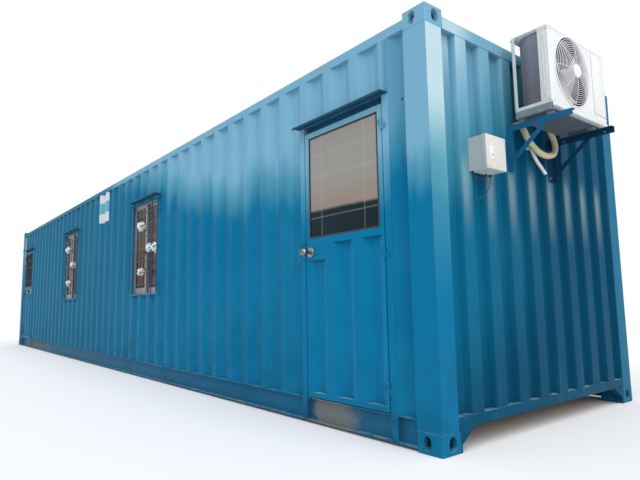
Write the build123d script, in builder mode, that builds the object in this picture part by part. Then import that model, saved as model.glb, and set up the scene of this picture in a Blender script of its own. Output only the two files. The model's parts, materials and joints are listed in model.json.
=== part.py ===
"""A 40-foot shipping container converted into a cabin.

Frame: millimetres, +Z up. The origin is the centre of the footprint at ground
level. +X points to the end that carries the air conditioner, and the doors and
windows are in the long wall on the -Y side.
"""
import os
from math import cos, pi, radians, sin, tan

from build123d import *

# ---------------------------------------------------------------- driving sizes
LENGTH = 12192.0            # over the corner castings, along X
WIDTH = 2438.0              # over the corner castings, along Y
HEIGHT = 2591.0             # over the corner castings, along Z
APERTURE_INSET_X = 103.5    # aperture centres, from the castings' end faces
APERTURE_INSET_Y = 89.5     # aperture centres, from the castings' side faces

CASTING_X, CASTING_Y, CASTING_Z = 178.0, 162.0, 118.0
CASTING_WALL = 28.0
CASTING_INNER_WALL = 14.0
CASTING_ROUND = 6.0
APERTURE_LENGTH, APERTURE_WIDTH = 124.0, 63.5
SIDE_APERTURE_LENGTH, SIDE_APERTURE_WIDTH = 79.5, 51.0
END_APERTURE_WIDTH = 63.5

POST_INSET = 2.0            # corner posts stand this far inside the castings' faces
POST_END_FACE = 149.0       # width of a post seen from the end
POST_WALL = 6.0
POST_CHAMFER = 70.0

RAIL_INSET = 4.0            # long rails and side walls, from the castings' side faces
SIDE_RAIL_BASE, SIDE_RAIL_TOP = 17.0, 175.0
SIDE_RAIL_DEPTH = 49.5
SIDE_RAIL_WALL = 4.5
TOP_RAIL = 60.0
TOP_RAIL_DROP = 98.0        # underside of the top side rails, below the castings' tops
TOP_RAIL_WALL = 4.0

END_RAIL_INSET = 2.0
END_RAIL_DEPTH = 58.0
END_RAIL_WALL = 4.0
END_RAIL_BASE, END_RAIL_TOP = 130.0, 192.0
END_HEADER = 62.0           # height of the top end rails
HEADER_SETBACK = 10.0
GUSSET_REACH = 142.0        # along Y from the casting, at the rail
GUSSET_TOE = 12.0
GUSSET_KNEE = 43.0

OVERCUT = 20.0              # how far a cut starts outside what it cuts

SHEET = 2.2                 # corrugated steel
BEND = 6.0                  # inside radius of a corrugation bend
SIDE_PITCH, SIDE_OPENING, SIDE_SLOPE, SIDE_DEPTH = 280.0, 206.0, 68.0, 36.0
END_PITCH, END_OPENING, END_SLOPE, END_DEPTH = 250.0, 140.0, 18.0, 45.6
END_WALL_INSET = 5.0        # crests of the end wall, from the castings' end faces

FLOOR_THICKNESS = 28.0
MEMBER_COUNT = 38
MEMBER_HEIGHT, MEMBER_FLANGE, MEMBER_WALL = 122.0, 45.0, 4.0

LINING = 50.0               # insulated inner panels
CEILING_DROP = 53.0         # ceiling, below the underside of the top side rails
CEILING_THICKNESS = 30.0

ROOF_SHEET = 2.2
ROOF_PITCH, ROOF_OPENING, ROOF_SLOPE, ROOF_RISE = 209.0, 139.0, 24.0, 18.0
ROOF_EDGE = 25.0            # roof edge, in from the side rail's face
ROOF_RIB_INSET = 34.0       # rib ends, in from the roof edge

DOOR_FROM_END = 378.0       # hinge axis, from the container's end
LEAF_WIDTH = 793.0
LEAF_TOP = 2082.0
LEAF_THICKNESS = 44.0
SILL_GAP, HEAD_GAP = 7.0, 6.0       # under and over the leaf
HINGE_GAP = 5.0             # from the hinge axis to the leaf and to the jamb
LATCH_GAP = 8.0
JAMB_LATCH, JAMB_HINGE = 52.0, 54.0
JAMB_PLATE = 3.0
JAMB_FOOT = 30.0            # height of the plates' lower ends
HEAD_HEIGHT = 44.0
HEAD_RECESS, HEAD_FLANGE = 36.0, 6.0
STOP_REACH = 24.0
STOP_GAP = 5.0
SILL_LIP = 22.0
FRAME_WALL = 3.0

GLASS_LATCH_MARGIN, GLASS_HINGE_MARGIN, GLASS_TOP_MARGIN = 44.0, 40.0, 42.0
GLASS_HEIGHT = 741.0
GLASS_REBATE = 12.0
GLASS_SET_BACK = 5.0
GLASS_THICKNESS = 6.0
DOOR_TROUGH_RISE = 33.0     # trough ends, above the leaf's lower edge
DOOR_TROUGH_DROP = 51.0     # trough ends, below the glass
LOCK_TROUGH_DROP = 161.0    # the same on the lock side

HINGE_HEIGHTS = (1949.0, 1135.0, 317.0)
HINGE_LENGTH = 70.0
HINGE_RADIUS = 8.0
PIN_RADIUS = 4.5
PIN_CLEARANCE = 0.1
PIN_LENGTH = 30.0
HINGE_TAB = 34.0
HINGE_TAB_THICKNESS = 5.0
HINGE_SPLIT = 0.5

KNOB_BACKSET, KNOB_Z = 52.0, 1197.0
ROSE_RADIUS, ROSE_THICKNESS = 38.0, 11.0
SPINDLE_RADIUS = 10.0
SPINDLE_CLEARANCE = 0.3
SPINDLE_SEAT = 16.0
ROSE_ROUND = 6.6            # rounding of the rose's rim
KNOB_RADIUS = 26.5
KNOB_REACH = 78.0           # from the leaf's face to the knob's end
KNOB_CLEARANCE = 1.0        # between the rose and the knob's neck
NECK_RADIUS, NECK_WAIST = 14.0, 12.0
NECK_LENGTH, KNOB_SHOULDER = 18.0, 8.0
KNOB_BELLY = 10.0           # from the shoulder's edge to the full radius
KNOB_BEVEL, KNOB_CROWN = 5.0, 7.0

EYE_Z = 1271.0
EYE_RADIUS, EYE_HOLE, EYE_REACH = 20.0, 7.0, 12.0
EYE_MARGIN = 3.0            # from the eye to the opening

WINDOW_X = 1700.0
WINDOW_WIDTH, WINDOW_BASE, WINDOW_TOP = 780.0, 975.0, 2085.0
SURROUND = 12.0
SURROUND_LEDGE_SIDE = 66.0
SURROUND_LEDGE_REACH = 12.0
SURROUND_LEDGE_THICKNESS = 22.0
WINDOW_FRAME_FACE, WINDOW_FRAME_DEPTH, WINDOW_FRAME_SETBACK = 16.0, 66.0, 18.0
SASH_STILE, SASH_MEETING_STILE = 22.0, 44.0
SASH_HEAD, SASH_FOOT, SASH_DEPTH = 36.0, 62.0, 22.0
SASH_TRACK_GAP = 10.0
PANE_THICKNESS = 5.0

GRILLE_BAR = 10.0
GRILLE_STANDOFF = 40.0
GRILLE_LEFT, GRILLE_RIGHT = 18.0, 91.0          # outer uprights, beyond the opening
GRILLE_INNER_LEFT, GRILLE_INNER_RIGHT = 90.0, 70.0  # inner uprights, inside the opening
GRILLE_TOP_DROP, GRILLE_BOTTOM_RISE = 143.0, 112.0
GRILLE_ROWS, GRILLE_LONG_EVERY = 7, 3           # every third crossbar is a long one
GRILLE_RISE = 4.0           # ends of the uprights, above the opening's foot and head

DOOR_HOOD_MARGIN, DOOR_HOOD_REACH = 10.0, 74.0
WINDOW_HOOD_LEFT, WINDOW_HOOD_RIGHT = 8.0, 82.0     # beyond the surround
WINDOW_HOOD_RISE, WINDOW_HOOD_REACH = 22.0, 96.0
HOOD_PLATE, HOOD_LIP = 3.0, 12.0

BOX_Y, BOX_Z = (-852.0, -649.0), (1617.0, 1823.0)
BOX_DEPTH, BOX_CORNER = 127.0, 3.0

BRACKET_INSET, BRACKET_SPACING = 18.0, 590.0
BRACKET_TOP, BRACKET_FOOT = 1985.0, 1676.0
BRACKET_OVERHANG = 106.0    # arm tips, beyond the casing's front
BRACKET_LEG = 68.0
BRACKET_ANGLE, BRACKET_THICKNESS = 40.0, 4.0
STRUT_TOP_REACH = 300.0
STRUT_FACE = 42.0           # width of the strut's ends
STRUT_INSET, STRUT_FOOT, STRUT_LAP = 6.0, 24.0, 6.0

AC_REAR_GAP = 77.0
AC_DEPTH, AC_WIDTH = 262.0, 770.0
AC_MARGIN = 19.5            # casing above and below the fan guard
AC_Y = -430.0               # the side of the casing nearest the doors' wall
AC_FOOT, AC_PAN = 25.0, 45.0
AC_FOOT_WIDTH, AC_FOOT_LENGTH, AC_FOOT_INSET = 36.0, 40.0, 34.0
PAN_FLOOR = 6.0
AC_SHEET = 2.0
AC_CORNER = 14.0
FAN_Y_OFFSET, FAN_RISE = 286.0, 4.5     # fan axis, from the side and the casing's middle
FAN_RADIUS, FAN_TIP_GAP, GUARD_LAP = 200.0, 28.0, 10.0
GUARD_DEPTH, GUARD_REACH = 8.0, 40.0      # the outer ring, and the dome's crown
GUARD_DOME = 30.0           # height of the dome half way in from the outer ring
GUARD_HUB_RADIUS = 47.0
GUARD_SPOKES, GUARD_RINGS = 8, 4
GUARD_SPOKE_RUNS = 6        # straight runs along a spoke
GUARD_WIRE, GUARD_RIB = 3.0, 6.0
GUARD_HUB_SKIRT = 10.0
FAN_HUB_RADIUS, FAN_HUB_DEPTH = 42.0, 64.0
FAN_HUB_ROUND = 8.0
FAN_BLADES, FAN_PITCH, BLADE_THICKNESS = 3, 18.0, 4.0
FAN_TURN = 15.0             # angle of the first blade, from +Y towards +Z
BLADE_ROOT = 28.0           # half the blade's width at the hub
BLADE_SPREAD = 42.0         # half the angle that a blade's tip takes up
BLADE_BELLY, BLADE_WAIST = 96.0, 62.0   # half widths near the middle
BLADE_OVERLAP = 6.0         # how far a blade runs into the hub
FAN_FRONT_GAP = 34.0        # from the fan's hub to the inside of the front panel
SHAFT_RADIUS, SHAFT_LENGTH, SHAFT_CLEARANCE = 6.0, 40.0, 0.05
SHAFT_END_GAP = 1.0
MOTOR_RADIUS, MOTOR_DEPTH, MOTOR_GAP = 52.0, 62.0, 18.0
MOTOR_POST, MOTOR_POST_DEPTH = 46.0, 16.0
COIL_THICKNESS, COIL_INSET, COIL_CORNER = 22.0, 8.0, 120.0
COIL_REAR_REACH = 560.0
COIL_SIDE_REACH = 178.0
COIL_TOP_GAP = 8.0          # from the coil to the casing's top
SIDE_OPENING_X = (30.0, 188.0)      # from the casing's rear face
REAR_OPENING_Y = (16.0, 570.0)      # from the casing's near side
CASE_OPENING_Z = (22.0, 12.0)       # above the base and below the top

PIPE_RADIUS = 21.0
DRAIN_RADIUS = 12.0
WIRE_RADIUS = 2.5
BEND_SHARE = 0.45           # of the shorter run, taken up by a bend

# Routes: points chosen by hand, with x measured out from the end wall's crests. The
# pipe starts on the trough behind its first point, and the drain on a crest.
PIPE_ROUTE = ((29, -270, 2026), (57, -290, 1965), (65, -245, 1896), (69, -145, 1841),
              (69, -25, 1829), (65, 85, 1861), (58, 125, 1926), (55, 118, 1972), (49, 70, 2042),
              (47, 30, 2120))
DRAIN_ROUTE = ((27, -166, 1880), (33, -118, 1800), (54, -34, 1706))
WIRE_LOOP_ROUTE = ((17, -840, 1617), (17, -840, 1597), (18, -814, 1578), (19, -771, 1574),
                   (19, -731, 1581), (17, -700, 1598), (17, -700, 1617))
WIRE_TAIL_ROUTE = ((19, -660, 1617), (19, -660, 1595), (19, -667, 1565), (19, -682, 1531),
                   (19, -708, 1497), (18, -746, 1469), (17, -792, 1443))

# ---------------------------------------------------------------- derived sizes
END_X = LENGTH / 2
SIDE_Y = WIDTH / 2
FACE_Y = SIDE_Y - RAIL_INSET                    # outer face of side rails and wall crests
POST_X = END_X - CASTING_X                      # where the posts and castings start
POST_Y = SIDE_Y - POST_END_FACE
CASTING_INNER_Y = SIDE_Y - CASTING_Y
TOP_CASTING_BASE = HEIGHT - CASTING_Z
TOP_RAIL_BASE = HEIGHT - TOP_RAIL_DROP
TOP_RAIL_TOP = TOP_RAIL_BASE + TOP_RAIL
CEILING_HEIGHT = TOP_RAIL_BASE - CEILING_DROP
WALL_INNER_Y = FACE_Y - SIDE_DEPTH - SHEET      # back of the side walls' troughs
LINING_Y = WALL_INNER_Y - LINING                # inner face of the side linings
WEB_Y = FACE_Y - SIDE_RAIL_DEPTH                # inner face of a bottom side rail
END_FACE_X = END_X - END_WALL_INSET             # crests of the end walls
END_INNER_X = END_FACE_X - END_DEPTH - SHEET
END_RAIL_X = END_X - END_RAIL_INSET - END_RAIL_DEPTH
PLATE_Y = FACE_Y + JAMB_PLATE                   # outer face of the jamb plates

DOOR_HINGE_X = END_X - DOOR_FROM_END
LEAF_HINGE_X = DOOR_HINGE_X - HINGE_GAP
LEAF_LATCH_X = LEAF_HINGE_X - LEAF_WIDTH
LEAF_BASE = SIDE_RAIL_TOP + SILL_GAP
LEAF_BACK_Y = FACE_Y - LEAF_THICKNESS
OPENING_LATCH_X = LEAF_LATCH_X - LATCH_GAP
OPENING_HINGE_X = DOOR_HINGE_X + HINGE_GAP
JAMB_LATCH_X = OPENING_LATCH_X - JAMB_LATCH
JAMB_HINGE_X = OPENING_HINGE_X + JAMB_HINGE
HEAD_BASE = LEAF_TOP + HEAD_GAP
HEAD_TOP = HEAD_BASE + HEAD_HEIGHT
STOP_Y = LEAF_BACK_Y - STOP_GAP
HINGE_Y = PLATE_Y + HINGE_RADIUS
DOOR_GLASS_X = (LEAF_LATCH_X + GLASS_LATCH_MARGIN, LEAF_HINGE_X - GLASS_HINGE_MARGIN)
DOOR_GLASS_Z = (LEAF_TOP - GLASS_TOP_MARGIN - GLASS_HEIGHT, LEAF_TOP - GLASS_TOP_MARGIN)
KNOB_X = LEAF_LATCH_X + KNOB_BACKSET

SURROUND_X = WINDOW_WIDTH / 2 + SURROUND
SURROUND_BASE = WINDOW_BASE - SURROUND
SURROUND_TOP = WINDOW_TOP + SURROUND

BRACKET_NEAR_Y = AC_Y + BRACKET_INSET
BRACKET_FAR_Y = BRACKET_NEAR_Y + BRACKET_SPACING
AC_REAR_X = END_FACE_X + AC_REAR_GAP
AC_FRONT_X = AC_REAR_X + AC_DEPTH
AC_BASE = BRACKET_TOP + AC_FOOT + AC_PAN
FAN_OPENING_RADIUS = FAN_RADIUS + FAN_TIP_GAP
GUARD_RADIUS = FAN_OPENING_RADIUS + GUARD_LAP
AC_HEIGHT = 2 * (GUARD_RADIUS + AC_MARGIN)
AC_TOP = AC_BASE + AC_HEIGHT
PAN_TOP = AC_BASE - AC_PAN + PAN_FLOOR          # inside of the pan
FAN_Y = AC_Y + FAN_Y_OFFSET
FAN_Z = AC_BASE + AC_HEIGHT / 2 + FAN_RISE
FAN_FRONT_X = AC_FRONT_X - AC_SHEET - FAN_FRONT_GAP
FAN_BACK_X = FAN_FRONT_X - FAN_HUB_DEPTH

FRONT, NEAR_END, BACK, FAR_END = (1, 0, 0), (0, 1, 0), (-1, 0, 0), (0, -1, 0)

os.makedirs("parts", exist_ok=True)


def save(part, label):
    """Name a finished piece and write it to parts/."""
    part.label = label
    export_step(part, f"parts/{label}.step")
    print(f"{label}: {len(part.solids())} solids")


def block(x, y, z, mode=Mode.ADD):
    """A box between low and high values of x, y and z, added to the open part."""
    centre = ((x[0] + x[1]) / 2, (y[0] + y[1]) / 2, (z[0] + z[1]) / 2)
    with Locations(centre):
        return Box(abs(x[1] - x[0]), abs(y[1] - y[0]), abs(z[1] - z[0]), mode=mode)


def spread(side, low, high):
    """The span from low to high, mirrored to the side whose sign is given."""
    return tuple(sorted((side * low, side * high)))


# ---------------------------------------------------------------- corrugated sheet
def fold_line(low, high, pitch, opening, slope, depth, face):
    """Corners of one face of a corrugated sheet whose crests lie at -face."""
    corners = [(low, None)]
    first = int((low - opening) // pitch)
    last = int((high + opening) // pitch) + 1
    for index in range(first, last + 1):
        middle = index * pitch
        half = opening / 2
        corners += [(middle - half, 0.0), (middle - half + slope, depth),
                    (middle + half - slope, depth), (middle + half, 0.0)]
    corners.append((high, None))
    line = sorted(corner for corner in corners if corner[1] is not None)

    def depth_at(place):
        for (x0, d0), (x1, d1) in zip(line, line[1:]):
            if x0 <= place <= x1:
                return d0 + (d1 - d0) * (place - x0) / (x1 - x0)
        return 0.0

    inside = [corner for corner in line if low + 1.0 < corner[0] < high - 1.0]
    points = [(low, depth_at(low))] + inside + [(high, depth_at(high))]
    return [(x, -face + d) for x, d in points]


def back_line(points, thickness):
    """The other face of a folded sheet, a thickness away on the left of the line."""
    headings = []
    for (x0, y0), (x1, y1) in zip(points, points[1:]):
        run = ((x1 - x0) ** 2 + (y1 - y0) ** 2) ** 0.5
        headings.append(((x1 - x0) / run, (y1 - y0) / run))
    shifted = [(points[0][0], points[0][1] + thickness / headings[0][0])]
    for (x, y), (ax, ay), (bx, by) in zip(points[1:-1], headings, headings[1:]):
        scale = thickness / (1.0 + ax * bx + ay * by)
        shifted.append((x - (ay + by) * scale, y + (ax + bx) * scale))
    shifted.append((points[-1][0], points[-1][1] + thickness / headings[-1][0]))
    turns = [ax * by - ay * bx for (ax, ay), (bx, by) in zip(headings, headings[1:])]
    return shifted, turns


def folded_sheet(plane, points, thickness):
    """A face on a plane between a folded line and its back, with rounded bends."""
    rear, turns = back_line(points, thickness)
    front_radii = [BEND + thickness if turn > 0 else BEND for turn in turns]
    rear_radii = [BEND if turn > 0 else BEND + thickness for turn in turns]
    with BuildSketch(plane, mode=Mode.PRIVATE) as section:
        with BuildLine():
            front = FilletPolyline(*points, radius=front_radii)
            back = FilletPolyline(*rear, radius=rear_radii)
            Line(front @ 0, back @ 0)
            Line(front @ 1, back @ 1)
        make_face()
    return section.sketch


def wall_sheet(direction, spans, base, top, end=False):
    """Corrugated wall panels over spans of the wall's own length."""
    if end:
        profile = (END_PITCH, END_OPENING, END_SLOPE, END_DEPTH, END_FACE_X)
    else:
        profile = (SIDE_PITCH, SIDE_OPENING, SIDE_SLOPE, SIDE_DEPTH, FACE_Y)
    plane = Plane(origin=(0, 0, base), x_dir=direction, z_dir=(0, 0, 1))
    for low, high in spans:
        extrude(folded_sheet(plane, fold_line(low, high, *profile), SHEET), amount=top - base)


# ---------------------------------------------------------------- steel frame
def corner_castings(base, label):
    """The four hollow castings at one level, with their lifting apertures."""
    with BuildPart() as castings:
        for sx in (-1, 1):
            for sy in (-1, 1):
                x = spread(sx, POST_X, END_X)
                y = spread(sy, CASTING_INNER_Y, SIDE_Y)
                with BuildPart(mode=Mode.PRIVATE) as outside:
                    block(x, y, (base, base + CASTING_Z))
                    fillet(outside.edges(), radius=CASTING_ROUND)
                add(outside.part)
                block(spread(sx, POST_X + CASTING_INNER_WALL, END_X - CASTING_WALL),
                      spread(sy, CASTING_INNER_Y + CASTING_INNER_WALL, SIDE_Y - CASTING_WALL),
                      (base + CASTING_WALL, base + CASTING_Z - CASTING_WALL), mode=Mode.SUBTRACT)
                hole_x, hole_y = sx * (END_X - APERTURE_INSET_X), sy * (SIDE_Y - APERTURE_INSET_Y)
                middle = base + CASTING_Z / 2
                with BuildSketch(Plane.XY.offset(base)):
                    with Locations((hole_x, hole_y)):
                        SlotOverall(APERTURE_LENGTH, APERTURE_WIDTH)
                extrude(amount=CASTING_Z, mode=Mode.SUBTRACT)
                side = Plane(origin=(hole_x, sy * SIDE_Y, middle), x_dir=(0, 0, 1), z_dir=(0, sy, 0))
                with BuildSketch(side):
                    SlotOverall(SIDE_APERTURE_LENGTH, SIDE_APERTURE_WIDTH)
                extrude(amount=-CASTING_WALL, mode=Mode.SUBTRACT)
                end = Plane(origin=(sx * END_X, hole_y, middle), x_dir=(0, 0, 1), z_dir=(sx, 0, 0))
                with BuildSketch(end):
                    SlotOverall(SIDE_APERTURE_LENGTH, END_APERTURE_WIDTH)
                extrude(amount=-CASTING_WALL, mode=Mode.SUBTRACT)
    save(castings.part, label)


corner_castings(0.0, "corner_castings_bottom")
corner_castings(TOP_CASTING_BASE, "corner_castings_top")


def post_outline(sx, sy, inset):
    """Corners of a post's section, moved in from its faces by inset."""
    x0, x1 = POST_X + inset, END_X - POST_INSET - inset
    y0, y1 = POST_Y + inset, SIDE_Y - POST_INSET - inset
    cut = POST_CHAMFER - inset * (2 - 2 ** 0.5)
    return [(sx * x, sy * y) for x, y in
            ((x1, y1), (x0, y1), (x0, y0 + cut), (x0 + cut, y0), (x1, y0))]


with BuildPart() as corner_posts:
    for sx in (-1, 1):
        for sy in (-1, 1):
            with BuildSketch(Plane.XY.offset(CASTING_Z)):
                with BuildLine():
                    Polyline(*post_outline(sx, sy, 0.0), close=True)
                make_face()
                with BuildLine():
                    Polyline(*post_outline(sx, sy, POST_WALL), close=True)
                make_face(mode=Mode.SUBTRACT)
            extrude(amount=TOP_CASTING_BASE - CASTING_Z)
save(corner_posts.part, "corner_posts")

with BuildPart() as bottom_side_rails:
    for sy in (-1, 1):
        block((-POST_X, POST_X), spread(sy, WEB_Y, FACE_Y), (SIDE_RAIL_BASE, SIDE_RAIL_TOP))
        block((-POST_X, POST_X), spread(sy, WEB_Y + SIDE_RAIL_WALL, FACE_Y),
              (SIDE_RAIL_BASE + SIDE_RAIL_WALL, SIDE_RAIL_TOP - SIDE_RAIL_WALL), mode=Mode.SUBTRACT)
save(bottom_side_rails.part, "bottom_side_rails")

with BuildPart() as top_side_rails:
    for sy in (-1, 1):
        block((-POST_X, POST_X), spread(sy, FACE_Y - TOP_RAIL, FACE_Y), (TOP_RAIL_BASE, TOP_RAIL_TOP))
        block((-POST_X, POST_X), spread(sy, FACE_Y - TOP_RAIL + TOP_RAIL_WALL, FACE_Y - TOP_RAIL_WALL),
              (TOP_RAIL_BASE + TOP_RAIL_WALL, TOP_RAIL_TOP - TOP_RAIL_WALL), mode=Mode.SUBTRACT)
save(top_side_rails.part, "top_side_rails")

with BuildPart() as end_rails:
    for sx in (-1, 1):
        rail_x = (END_RAIL_X, END_RAIL_X + END_RAIL_DEPTH)
        hollow_x = (rail_x[0] + END_RAIL_WALL, rail_x[1] - END_RAIL_WALL)
        for half, base, top in ((POST_Y, END_RAIL_BASE, END_RAIL_TOP),
                                (CASTING_INNER_Y, TOP_CASTING_BASE, TOP_CASTING_BASE + END_HEADER)):
            block(spread(sx, *rail_x), (-half, half), (base, top))
            block(spread(sx, *hollow_x), (-half, half),
                  (base + END_RAIL_WALL, top - END_RAIL_WALL), mode=Mode.SUBTRACT)
        block(spread(sx, rail_x[0], rail_x[1] - HEADER_SETBACK), (-CASTING_INNER_Y, CASTING_INNER_Y),
              (TOP_CASTING_BASE + END_HEADER, TOP_RAIL_TOP))
save(end_rails.part, "end_rails")

with BuildPart() as end_gussets:
    for sx in (-1, 1):
        for sy in (-1, 1):
            with BuildSketch(Plane.YZ.offset(min(spread(sx, END_RAIL_X, END_RAIL_X + END_RAIL_DEPTH)))):
                with BuildLine():
                    y = CASTING_INNER_Y
                    Polyline((sy * y, 0), (sy * (y - GUSSET_TOE), 0), (sy * (y - GUSSET_TOE), GUSSET_KNEE),
                             (sy * (y - GUSSET_REACH), END_RAIL_BASE), (sy * y, END_RAIL_BASE), close=True)
                make_face()
            extrude(amount=END_RAIL_DEPTH)
save(end_gussets.part, "end_gussets")

with BuildPart() as cross_members:
    member_step = 2 * END_RAIL_X / (MEMBER_COUNT + 1)
    member_base = SIDE_RAIL_TOP - FLOOR_THICKNESS - MEMBER_HEIGHT
    member_top = SIDE_RAIL_TOP - FLOOR_THICKNESS
    for index in range(MEMBER_COUNT):
        x = -END_RAIL_X + (index + 1) * member_step
        if abs(x) + MEMBER_FLANGE > POST_X:
            continue
        block((x - MEMBER_FLANGE / 2, x + MEMBER_FLANGE / 2), (-WEB_Y, WEB_Y), (member_base, member_top))
        block((x - MEMBER_FLANGE / 2 + MEMBER_WALL, x + MEMBER_FLANGE / 2), (-WEB_Y, WEB_Y),
              (member_base + MEMBER_WALL, member_top - MEMBER_WALL), mode=Mode.SUBTRACT)
save(cross_members.part, "cross_members")

with BuildPart() as floor:
    block((-POST_X, POST_X), (-WEB_Y, WEB_Y), (member_top, SIDE_RAIL_TOP))
    block((-END_RAIL_X, END_RAIL_X), (-POST_Y, POST_Y), (member_top, SIDE_RAIL_TOP))
save(floor.part, "floor")

# ---------------------------------------------------------------- walls and roof
panel_spans = [(-POST_X, -JAMB_HINGE_X), (-JAMB_LATCH_X, -WINDOW_X - SURROUND_X),
               (-WINDOW_X + SURROUND_X, WINDOW_X - SURROUND_X),
               (WINDOW_X + SURROUND_X, JAMB_LATCH_X), (JAMB_HINGE_X, POST_X)]
door_spans = [(-JAMB_HINGE_X, -JAMB_LATCH_X), (JAMB_LATCH_X, JAMB_HINGE_X)]
window_spans = [(side * WINDOW_X - SURROUND_X, side * WINDOW_X + SURROUND_X) for side in (-1, 1)]

with BuildPart() as front_wall_panels:
    wall_sheet(FRONT, panel_spans, SIDE_RAIL_TOP, TOP_RAIL_BASE)
save(front_wall_panels.part, "front_wall_panels")

with BuildPart() as front_wall_over_doors:
    wall_sheet(FRONT, door_spans, HEAD_TOP, TOP_RAIL_BASE)
save(front_wall_over_doors.part, "front_wall_over_doors")

with BuildPart() as front_wall_at_windows:
    wall_sheet(FRONT, window_spans, SIDE_RAIL_TOP, SURROUND_BASE)
    wall_sheet(FRONT, window_spans, SURROUND_TOP, TOP_RAIL_BASE)
save(front_wall_at_windows.part, "front_wall_at_windows")

with BuildPart() as back_wall:
    wall_sheet(BACK, [(-POST_X, POST_X)], SIDE_RAIL_TOP, TOP_RAIL_BASE)
save(back_wall.part, "back_wall")

with BuildPart() as end_walls:
    for direction in (NEAR_END, FAR_END):
        wall_sheet(direction, [(-POST_Y, POST_Y)], END_RAIL_TOP, TOP_CASTING_BASE, end=True)
save(end_walls.part, "end_walls")


roof_y = FACE_Y - ROOF_EDGE
rib_y = roof_y - ROOF_RIB_INSET
rib_limit = int((POST_X - ROOF_OPENING) // ROOF_PITCH)

with BuildPart() as roof:
    with BuildSketch(Plane.XY.offset(TOP_RAIL_TOP)):
        Rectangle(2 * POST_X, 2 * roof_y)
        Rectangle(2 * (END_X - END_RAIL_INSET - HEADER_SETBACK), 2 * CASTING_INNER_Y)
    extrude(amount=ROOF_SHEET)
    with BuildSketch(Plane.XZ.offset(-rib_y)):
        with BuildLine():
            crest = TOP_RAIL_TOP + ROOF_RISE
            half, flat = ROOF_OPENING / 2, ROOF_OPENING / 2 - ROOF_SLOPE
            outline = []
            for index in range(-rib_limit, rib_limit + 1):
                middle = index * ROOF_PITCH
                outline += [(middle - half, TOP_RAIL_TOP + ROOF_SHEET), (middle - flat, crest),
                            (middle + flat, crest), (middle + half, TOP_RAIL_TOP + ROOF_SHEET)]
            outline += [(outline[-1][0], TOP_RAIL_TOP), (outline[0][0], TOP_RAIL_TOP)]
            Polyline(*outline, close=True)
        make_face()
    extrude(amount=2 * rib_y)
    for side in (-1, 1):
        with BuildSketch(Plane.YZ.offset(-END_X)):
            with BuildLine():
                run = ROOF_SLOPE
                level = TOP_RAIL_TOP + ROOF_SHEET
                Polyline((side * rib_y, level), (side * (rib_y - run), level + ROOF_RISE),
                         (side * rib_y, level + ROOF_RISE), close=True)
            make_face()
        extrude(amount=LENGTH, mode=Mode.SUBTRACT)
save(roof.part, "roof")

# ---------------------------------------------------------------- linings
with BuildPart() as lining_front:
    for low, high in panel_spans:
        block((low, high), (-WALL_INNER_Y, -LINING_Y), (SIDE_RAIL_TOP, CEILING_HEIGHT))
save(lining_front.part, "lining_front")

with BuildPart() as lining_front_infills:
    for low, high in door_spans:
        block((low, high), (-WALL_INNER_Y, -LINING_Y), (HEAD_TOP, CEILING_HEIGHT))
    for low, high in window_spans:
        block((low, high), (-WALL_INNER_Y, -LINING_Y), (SIDE_RAIL_TOP, SURROUND_BASE))
        block((low, high), (-WALL_INNER_Y, -LINING_Y), (SURROUND_TOP, CEILING_HEIGHT))
save(lining_front_infills.part, "lining_front_infills")

with BuildPart() as lining_back:
    block((-POST_X, POST_X), (LINING_Y, WALL_INNER_Y), (SIDE_RAIL_TOP, CEILING_HEIGHT))
save(lining_back.part, "lining_back")

with BuildPart() as lining_ends:
    for side in (-1, 1):
        block(spread(side, END_INNER_X - LINING, END_INNER_X), (-POST_Y, POST_Y),
              (END_RAIL_TOP, CEILING_HEIGHT))
        block(spread(side, END_INNER_X - LINING, END_RAIL_X), (-POST_Y, POST_Y),
              (SIDE_RAIL_TOP, END_RAIL_TOP))
save(lining_ends.part, "lining_ends")

with BuildPart() as ceiling:
    ceiling_z = (CEILING_HEIGHT, CEILING_HEIGHT + CEILING_THICKNESS)
    block((-POST_X, POST_X), (-WALL_INNER_Y, WALL_INNER_Y), ceiling_z)
    block((-END_INNER_X, END_INNER_X), (-POST_Y, POST_Y), ceiling_z)
save(ceiling.part, "ceiling")

# ---------------------------------------------------------------- door frames
with BuildPart() as door_jambs:
    for side in (-1, 1):
        for outer, inner, stop in ((JAMB_LATCH_X, OPENING_LATCH_X, OPENING_LATCH_X + STOP_REACH),
                                   (JAMB_HINGE_X, OPENING_HINGE_X, OPENING_HINGE_X - STOP_REACH)):
            block(spread(side, *sorted((outer, inner))), (-FACE_Y, -LINING_Y), (SIDE_RAIL_TOP, HEAD_TOP))
            block(spread(side, *sorted((outer, inner))), (-PLATE_Y, -FACE_Y), (JAMB_FOOT, HEAD_TOP))
            block(spread(side, *sorted((inner, stop))), (-STOP_Y, -LINING_Y), (SIDE_RAIL_TOP, HEAD_BASE))
            low, high = sorted((outer, inner))
            block(spread(side, low + FRAME_WALL, high - FRAME_WALL),
                  (-FACE_Y + FRAME_WALL, -LINING_Y - FRAME_WALL),
                  (SIDE_RAIL_TOP, HEAD_TOP - FRAME_WALL), mode=Mode.SUBTRACT)
        eye_x = OPENING_LATCH_X - EYE_RADIUS - EYE_MARGIN
        with BuildSketch(Plane(origin=(side * eye_x, -PLATE_Y, EYE_Z), z_dir=(0, -1, 0))):
            Circle(EYE_RADIUS)
            Circle(EYE_HOLE, mode=Mode.SUBTRACT)
        extrude(amount=EYE_REACH)
save(door_jambs.part, "door_jambs")

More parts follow.
